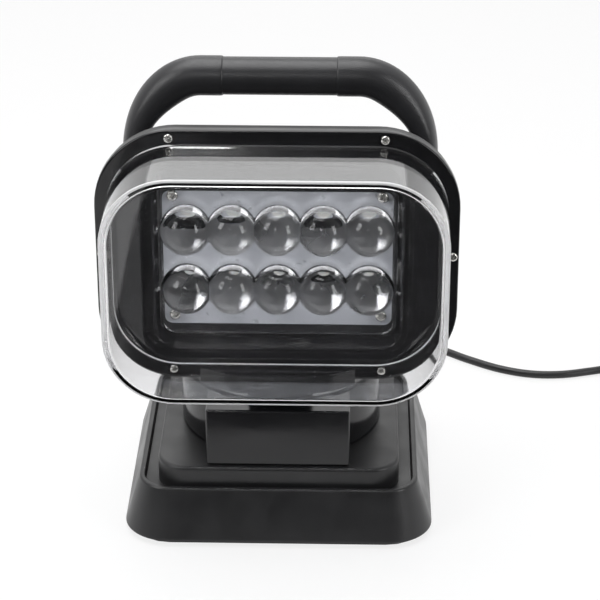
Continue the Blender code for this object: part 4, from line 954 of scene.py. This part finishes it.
def lamp_frame():
    """The black front frame: flange, band, ridge, step and window, with the lip below."""
    inner_x = COVER_X - COVER_WALL
    inner_z = COVER_Z - COVER_WALL
    ridge_y = FLANGE_FRONT - RIDGE_PROUD
    step_y = FLANGE_FRONT + STEP_DEEP
    step_lip = step_y + 0.0003
    seat_y = LENS_PLATE_BACK + SEAT_GAP
    ledge_x = WINDOW_X - LEDGE_INSET
    ledge_z = WINDOW_Z - LEDGE_INSET
    wall = 0.003
    back_wall = 0.0015
    # From the flange's back round its edge, inwards over the front, and back behind the window
    sections = [
        (*FLANGE, FLANGE_BACK, 0),
        (*FLANGE, FLANGE_FRONT, 0),
        (inner_x, inner_z, 0.0325, FLANGE_FRONT, COVER_CENTRE_Z),
        (inner_x - 0.002, inner_z - 0.0015, 0.030, FLANGE_FRONT + 0.0015, COVER_CENTRE_Z),
        (RIDGE_X + 0.0004, RIDGE_Z + 0.0004, 0.0155, ridge_y, BEZEL_Z),
        (RIDGE_X - 0.0006, RIDGE_Z - 0.0006, 0.0145, ridge_y, BEZEL_Z),
        (RIDGE_X - 0.0018, RIDGE_Z - 0.0012, 0.0138, step_lip, BEZEL_Z),
        (STEP_X, STEP_Z, 0.0120, step_lip, BEZEL_Z),
        (WINDOW_X, WINDOW_Z + 0.0004, WINDOW_CORNER, LENS_PLATE_FRONT, BEZEL_Z),
        (*WINDOW, seat_y, BEZEL_Z),
        (ledge_x, ledge_z, LEDGE_CORNER, seat_y, BEZEL_Z),
        (ledge_x, ledge_z, LEDGE_CORNER, FRAME_BACK, BEZEL_Z),
        (WINDOW_X + wall, WINDOW_Z + wall, 0.011, FRAME_BACK, BEZEL_Z),
        (STEP_X + wall, STEP_Z + wall, 0.0145, step_y + wall, BEZEL_Z),
        (RIDGE_X + back_wall, RIDGE_Z + back_wall, 0.017, FLANGE_BACK, BEZEL_Z),
    ]
    cuts = [0.0006, 0.0013, 0.0003, 0.0008, 0.0004, 0.0004, 0.0009, 0.0008, 0.0003]
    cuts += [0, 0, 0, 0.0005, 0, 0]
    body = loft("lamp_frame", head_rows(filleted(sections, cuts)), ring=True)

    radius = (CHIN_X**2 + CHIN_REACH**2) / (2 * CHIN_REACH)
    spread = math.asin(CHIN_X / radius)
    front = FLANGE_FRONT - CHIN_REACH
    root = FLANGE_FRONT + CHIN_ROOT
    outline = [(-CHIN_X, root)]
    for i in range(ARC_STEPS + 1):
        angle = -spread + 2 * spread * i / ARC_STEPS
        outline.append((radius * math.sin(angle), front + radius * (1 - math.cos(angle))))
    outline.append((CHIN_X, root))
    levels = [[(x, y, TILT_HEIGHT + z) for x, y in outline] for z in (CHIN_LOW, CHIN_HIGH)]
    combined(body, "UNION", bevelled(loft("lip", levels), CHIN_EDGE, 4))
    return piece(smoothed(body), "head", "gloss_black", "front_frame")


def box_cover():
    """The clear cover, open at the back. Its wall is thicker above, and its front edge is soft."""
    foot = FLANGE_FRONT - SEAT_GAP
    inner = COVER_FRONT + COVER_WALL

    def at(by, y, drop=0.0):
        return (*inset(COVER, by), y, COVER_CENTRE_Z - drop)

    sections = [
        at(COVER_FACE_INSET, inner, COVER_INNER_DROP),
        at(COVER_WALL + COVER_DRAFT, inner, COVER_INNER_DROP),
        at(COVER_WALL, foot, COVER_INNER_DROP),
        at(0, foot),
        at(COVER_DRAFT, COVER_FRONT),
        at(COVER_FACE_INSET, COVER_FRONT),
    ]
    cuts = [0, COVER_INNER_EDGE, COVER_FOOT_EDGE, 0.0004, COVER_EDGE, 0]
    cover = loft("box_cover", head_rows(filleted(sections, cuts, 7)))
    piece(smoothed(cover), "head", "clear_cover", "clear_cover")
    cover.data.materials.append(LOOKS["clear_edge"])
    for face in cover.data.polygons:
        soft_edge = FLAT_FACE < face.center.y - COVER_FRONT < COVER_EDGE
        low = face.center.z < TILT_HEIGHT + COVER_FOOT_TOP
        if soft_edge or (low and face.center.y > foot - COVER_FOOT_EDGE):
            face.material_index = 1
    return cover


def lens_places():
    return [
        (column * LENS_PITCH_X, LENS_CENTRE_Z + row * LENS_PITCH_Z / 2)
        for row in (-1, 1)
        for column in range(-2, 3)
    ]


def ball_lenses():
    """One clear moulding: a plate with a raised rail round it, and ten balls."""
    edge = (WINDOW_X - SEAT_GAP, WINDOW_Z - SEAT_GAP, LENS_PLATE_CORNER)
    slope = 0.0002
    rail_top = LENS_PLATE_FRONT - RAIL_PROUD

    def at(by, y):
        return (*inset(edge, by), y, BEZEL_Z)

    sections = [
        at(0.006, LENS_PLATE_FRONT),
        at(RAIL_WIDTH + slope, LENS_PLATE_FRONT),
        at(RAIL_WIDTH, rail_top),
        at(slope, rail_top),
        at(0, LENS_PLATE_BACK),
    ]
    plate = loft("ball_lenses", head_rows(filleted(sections, [0, 0.0003, 0.0005, 0.0006, 0], 3)))
    balls = []
    for x, z in lens_places():
        bm = bmesh.new()
        bmesh.ops.create_uvsphere(bm, u_segments=56, v_segments=28, radius=LENS_RADIUS)
        ball = from_bmesh("ball", bm)
        balls.append(placed(ball, (x, LENS_CENTRE_Y, TILT_HEIGHT + z), (0, 1, 0)))
    combined(plate, "UNION", *balls)
    depth = 0.02
    behind = box("behind", (0.2, depth, 0.2), (0, LENS_BACK + depth / 2, TILT_HEIGHT))
    combined(plate, "DIFFERENCE", behind)
    return piece(smoothed(plate, 30), "head", "clear_lens", "lens_array")


def film(name, look, outlines):
    """A thin sheet behind the lens plate. The first outline is its edge, the others are holes."""
    data = bpy.data.curves.new(name, "CURVE")
    data.dimensions = "2D"
    data.fill_mode = "BOTH"
    data.extrude = FILM_THICK / 2
    for outline in outlines:
        add_line(data, [(u, v, 0) for u, v in outline]).use_cyclic_u = True
    guide = link(bpy.data.objects.new(name + "_guide", data))
    mesh = evaluated_mesh(guide)
    bpy.data.objects.remove(guide)
    upright = Matrix.Rotation(math.pi / 2, 4, "X")
    mesh.transform(Matrix.Translation((0, LENS_PLATE_BACK + FILM_GAP, TILT_HEIGHT)) @ upright)
    return piece(link(bpy.data.objects.new(name, mesh)), "head", look)


def lens_films():
    """The silver sheet, open behind each ball, and the black border round it."""

    def outline(half_x, half_z, corner, centre):
        return [(x, z + centre) for x, z in rounded_rectangle(half_x, half_z, corner)]

    silver = outline(FILM_X, FILM_Z, FILM_CORNER, FILM_CENTRE_Z)
    inner = outline(FILM_X + FILM_PLAY, FILM_Z + FILM_PLAY, FILM_CORNER, FILM_CENTRE_Z)
    outer = outline(*inset(WINDOW, FILM_MARGIN), BEZEL_Z)
    holes = [
        [(x + FILM_HOLE * math.cos(a), z + FILM_HOLE * math.sin(a)) for a in full_turn(64)]
        for x, z in lens_places()
    ]
    film("reflector_film", "reflector", [silver, *holes])
    film("film_border", "satin_black", [outer, inner])


def light_chips():
    """What the balls show: a metal disc with a dark carrier, and the pale middle of the chip."""
    for name, look, radii, y, thick, steps in CHIP_LAYERS:
        made = [
            cylinder("chip", radius, thick, (x, y, TILT_HEIGHT + z), "Y", steps)
            for (x, z), radius in zip(lens_places(), radii)
        ]
        piece(joined(name, made), "head", look)


def handle_rows():
    """Rings of points along the loop. Its legs are flatter, and a fine seam runs inside."""
    half = [(HANDLE_X, HANDLE_FOOT + up, share) for up, share in HANDLE_FOOT_SHARES]
    half.append((HANDLE_X, HANDLE_TOP - HANDLE_BEND_Z, 1.0))
    for i in range(1, HANDLE_BEND_STEPS + 1):
        angle = math.pi / 2 * i / HANDLE_BEND_STEPS
        x = HANDLE_X - HANDLE_BEND_X * (1 - math.cos(angle))
        half.append((x, HANDLE_TOP - HANDLE_BEND_Z * (1 - math.sin(angle)), 1.0))
    half += [(GRIP_HALF + out, HANDLE_TOP, share) for out, share in GRIP_EDGE_SHARES]
    path = half + [(-x, z, share) for x, z, share in reversed(half)]
    rows = []
    for i, (x, z, share) in enumerate(path):
        before = path[max(i - 1, 0)]
        after = path[min(i + 1, len(path) - 1)]
        run = Vector((after[0] - before[0], 0, after[1] - before[1])).normalized()
        outward = Vector((run.z, 0, -run.x))
        flat = 1.0
        for low, high in (HANDLE_FLATTENS, HANDLE_ROUNDS):
            flat *= eased(min(max((z - low) / (high - low), 0), 1))
        thick = HANDLE_RADIUS + (HANDLE_FLAT_THICK - HANDLE_RADIUS) * flat
        deep = HANDLE_RADIUS + (HANDLE_FLAT_DEEP - HANDLE_RADIUS) * flat
        square = 1 + (HANDLE_SQUARE - 1) * flat
        middle = Vector((x, 0, TILT_HEIGHT + z)) + outward * (HANDLE_RADIUS - thick)
        row = []
        for side, angle in enumerate(full_turn(HANDLE_SIDES)):
            away = math.copysign(abs(math.cos(angle)) ** square, math.cos(angle)) * thick
            along = math.copysign(abs(math.sin(angle)) ** square, math.sin(angle)) * deep
            seam = SEAM_PROUD if side == SEAM_SIDE and share > 0.9 else 1.0
            row.append(middle + (outward * away + Vector((0, -along, 0))) * share * seam)
        rows.append(row)
    return rows


def carry_handle():
    handle = loft("carry_handle", handle_rows())
    bores = []
    deep = 0.02
    for sign in (-1, 1):
        middle = (sign * (HANDLE_SEAT + deep / 2), 0, TILT_HEIGHT)
        bores.append(cylinder("head_bore", HANDLE_SCREW_HEAD + 0.0003, deep, middle, "X", 48))
    combined(handle, "DIFFERENCE", *bores)
    piece(smoothed(handle, 50), "head", "grip_black", "handle")
    for side, sign in (("left", -1), ("right", 1)):
        centre = (sign * (HANDLE_SEAT + HANDLE_SCREW_GAP), 0, TILT_HEIGHT)
        screw(f"handle_screw_{side}", HANDLE_SCREW, centre, (sign, 0, 0), 35 * sign)


def front_screws():
    half_x, half_z = LENS_SCREW_PLACE
    corners = [(sx * half_x, LENS_CENTRE_Z + sz * half_z) for sx in (-1, 1) for sz in (-1, 1)]
    for kind, size, places, y, turn in (
        ("cover", COVER_SCREW, COVER_SCREW_PLACES, FLANGE_FRONT, 37),
        ("lens", LENS_SCREW, corners, LENS_PLATE_FRONT, 53),
    ):
        for number, (x, z) in enumerate(places, 1):
            centre = (x, y - SEAT_GAP, TILT_HEIGHT + z)
            screw(f"{kind}_screw_{number}", size, centre, (0, -1, 0), number * turn)


def head_shell():
    """The rear shell: flange, collar, bowl and the two bosses that the handle is screwed to."""
    flange = [
        (*inset(FLANGE, FLANGE_CAP_INSET), SHELL_FRONT, 0),
        (*inset(FLANGE, SHELL_INSET), SHELL_FRONT, 0),
        (*inset(FLANGE, SHELL_INSET), SHELL_FLANGE_BACK, 0),
        (*inset(FLANGE, FLANGE_CAP_INSET), SHELL_FLANGE_BACK, 0),
    ]
    shell = loft("head_shell", head_rows(filleted(flange, [0, 0.0004, 0.0014, 0])))
    collar = [
        (*COLLAR, SHELL_FRONT + SHELL_OVERLAP, 0),
        (*COLLAR, COLLAR_BACK, 0),
        (*inset(COLLAR, 0.006), COLLAR_BACK, 0),
    ]
    collar = loft("collar", head_rows(filleted(collar, [0, 0.003, 0])))
    collar_hollow = [
        (*inset(COLLAR, SHELL_WALL), SHELL_FRONT - CUT_REACH, 0),
        (*inset(COLLAR, SHELL_WALL), COLLAR_BACK - SHELL_WALL, 0),
    ]

    def bowl(name, wall, front, edge):
        height = BOWL_Z - wall
        outline = [(front, TILT_HEIGHT - height)]
        for i in range(ARC_STEPS + 1):
            angle = math.pi * (i / ARC_STEPS - 0.5)
            y = BOWL_FRONT + (BOWL_DEPTH - wall) * math.cos(angle)
            outline.append((y, TILT_HEIGHT + height * math.sin(angle)))
        outline.append((front, TILT_HEIGHT + height))
        return prism(name, outline, 2 * (BOWL_X - wall), edge, 4)

    combined(shell, "UNION", collar, bowl("bowl", 0, BOWL_FRONT - SHELL_OVERLAP, BOWL_EDGE))
    inside = bowl("bowl_hollow", SHELL_WALL, BOWL_FRONT - CUT_REACH, 0)
    combined(shell, "DIFFERENCE", loft("collar_hollow", head_rows(collar_hollow)), inside)
    bosses = []
    low = BOWL_X - SHELL_WALL
    high = HANDLE_X - HANDLE_RADIUS - SEAT_GAP
    for sign in (-1, 1):
        middle = (sign * (low + high) / 2, 0, TILT_HEIGHT)
        boss = cylinder("boss", BOSS_RADIUS, high - low, middle, "X", 64)
        bosses.append(bevelled(boss, 0.0006, 2))
    combined(shell, "UNION", *bosses)
    reach = 0.15
    slot_middle = (0, SLOT_FRONT + reach / 2, TILT_HEIGHT + SLOT_TOP - reach / 2)
    slot = box("slot", (2 * SLOT_X, reach, reach), slot_middle)
    bore = cylinder("bore", HANDLE_SCREW_SHANK + SEAT_GAP, ACROSS, (0, 0, TILT_HEIGHT), "X", 24)
    combined(shell, "DIFFERENCE", slot, bore)
    return piece(smoothed(shell, 32), "head", "satin_black", "rear_shell")


def turret():
    """The round turret with its square front, its hollow, and the neck up to the tilt axle."""
    top = TURRET_TOP
    edge_steps = 6
    profile = [(0, top)]
    for i in range(edge_steps + 1):
        angle = math.radians(90 * i / edge_steps)
        radius = TURRET_RADIUS - TURRET_EDGE + TURRET_EDGE * math.sin(angle)
        profile.append((radius, top - TURRET_EDGE + TURRET_EDGE * math.cos(angle)))
    profile.append((TURRET_RADIUS, TURRET_BOTTOM + TURRET_FOOT_EDGE))
    profile.append((TURRET_RADIUS - TURRET_FOOT_EDGE, TURRET_BOTTOM))
    profile.append((0, TURRET_BOTTOM))
    housing = turned("turret", profile, 128)

    def rectangle(front, low, high):
        return [(0, low), (front, low), (front, high), (0, high)]

    box_top = top - TURRET_BOX_DROP
    square = rectangle(TURRET_BOX_Y, TURRET_BOTTOM + TURRET_BOX_RISE, box_top)
    front = prism("front", square, 2 * TURRET_BOX_X, TURRET_BOX_EDGE, 4)
    combined(housing, "UNION", front)
    hollow_height = top - TURRET_WALL - TURRET_BOTTOM
    bottom = (0, 0, TURRET_BOTTOM)
    hollow = cylinder("hollow", TURRET_RADIUS - TURRET_WALL, 2 * hollow_height, bottom, "Z", 96)
    inner_square = rectangle(TURRET_BOX_Y + TURRET_WALL, 0, box_top - TURRET_WALL)
    inner_front = prism("inner_front", inner_square, 2 * (TURRET_BOX_X - TURRET_WALL))
    combined(housing, "DIFFERENCE", hollow, inner_front)
    hub_height = top - TURRET_WALL / 2 - TURRET_HUB_BOTTOM
    middle = (0, 0, TURRET_HUB_BOTTOM + hub_height / 2)
    hub = cylinder("hub", TURRET_HUB_RADIUS, hub_height, middle, "Z", 64)
    foot = [(STEM_FOOT_Y, top - STEM_SUNK), (STEM_FOOT_Y, top), (STEM_Y, top + STEM_FOOT_HEIGHT)]
    outline = list(foot)
    arc_steps = 32
    for i in range(arc_steps + 1):
        angle = math.pi * i / arc_steps
        outline.append((STEM_Y * math.cos(angle), TILT_HEIGHT + STEM_Y * math.sin(angle)))
    outline += [(-y, z) for y, z in reversed(foot)]
    stem = prism("stem", outline, 2 * STEM_X, STEM_EDGE, 3)
    combined(housing, "UNION", hub, stem)
    shaft_height = 2 * (hub_height - 2 * TURRET_WALL)
    shaft = cylinder("shaft", SHAFT_BORE, shaft_height, (0, 0, TURRET_HUB_BOTTOM), "Z", 48)
    axle = cylinder("axle", AXLE_BORE, ACROSS, (0, 0, TILT_HEIGHT), "X", 48)
    combined(housing, "DIFFERENCE", shaft, axle)
    return piece(smoothed(housing, 32), "turret", "gloss_black", "turret_housing")


def base_shell():
    """The sloped base housing, with its rim, the groove inside it and the ledge for the deck."""

    def wall(z, by=0.0):
        rise = min(max((z - FOOT_RISE) / (RIDGE_HEIGHT - FOOT_RISE), 0), 1)
        return (*inset(FOOT, BASE_INSET * rise + by), z)

    sections = [
        wall(PLATE_BOTTOM),
        wall(FOOT_RISE),
        wall(RIDGE_HEIGHT),
        wall(RIDGE_HEIGHT, RIDGE_WIDTH + RIDGE_SLOPE),
        wall(LEDGE_TOP, RIDGE_WIDTH * 2),
        (*LEDGE, LEDGE_TOP),
        (*LEDGE, LEDGE_BOTTOM),
        wall(LEDGE_BOTTOM, HOUSING_WALL),
        wall(FOOT_RISE, HOUSING_WALL),
        wall(PLATE_BOTTOM, HOUSING_WALL),
    ]
    cuts = [0.0002, 0.0006, 0.0011, 0.0005, 0.0005, 0, 0, 0, 0, 0]
    shell = loft("base_shell", floor_rows(filleted(sections, cuts)), ring=True)
    return piece(smoothed(shell), "base", "satin_black", "base_housing")


def base_deck():
    """The raised deck under the turret, with a bore for the pan bush."""
    seat = LEDGE_TOP + SEAT_GAP
    bore = (DECK_BORE, DECK_BORE, DECK_BORE)
    hollow = inset(DECK, DECK_WALL)
    sections = [
        (*DECK, seat),
        (*DECK, DECK_HEIGHT),
        (*bore, DECK_HEIGHT),
        (*bore, DECK_UNDERSIDE),
        (*hollow, DECK_UNDERSIDE),
        (*hollow, seat),
    ]
    deck = loft("base_deck", floor_rows(filleted(sections, [0, DECK_EDGE, 0, 0, 0, 0])), ring=True)
    return piece(smoothed(deck), "base", "satin_black", "deck")


def dress_cad_nodes():
    """Every CAD node gets the procedural material of its slot."""
    for row in frame["record"]["subparts"]:
        node = frame["nodes"][row["node"]]
        node.data.materials.clear()
        node.data.materials.append(LOOKS[row["material_slot"]])


LOOKS = {
    look.__name__: look().material
    for look in (
        gloss_black,
        satin_black,
        grip_black,
        cord_black,
        rubber,
        clear_cover,
        clear_edge,
        clear_lens,
        reflector,
        aluminium,
        steel,
        screw_steel,
        nylon,
        board,
    )
}

camera()
cord = supply_cord()
relief = strain_relief()
plug_body = plug()
tie = coil_tie()
studio()
dress_cad_nodes()
base_shell()
base_deck()
turret()
lamp_frame()
head_shell()
box_cover()
ball_lenses()
lens_films()
light_chips()
carry_handle()
front_screws()

scene = bpy.context.scene
scene.view_settings.view_transform = "Standard"
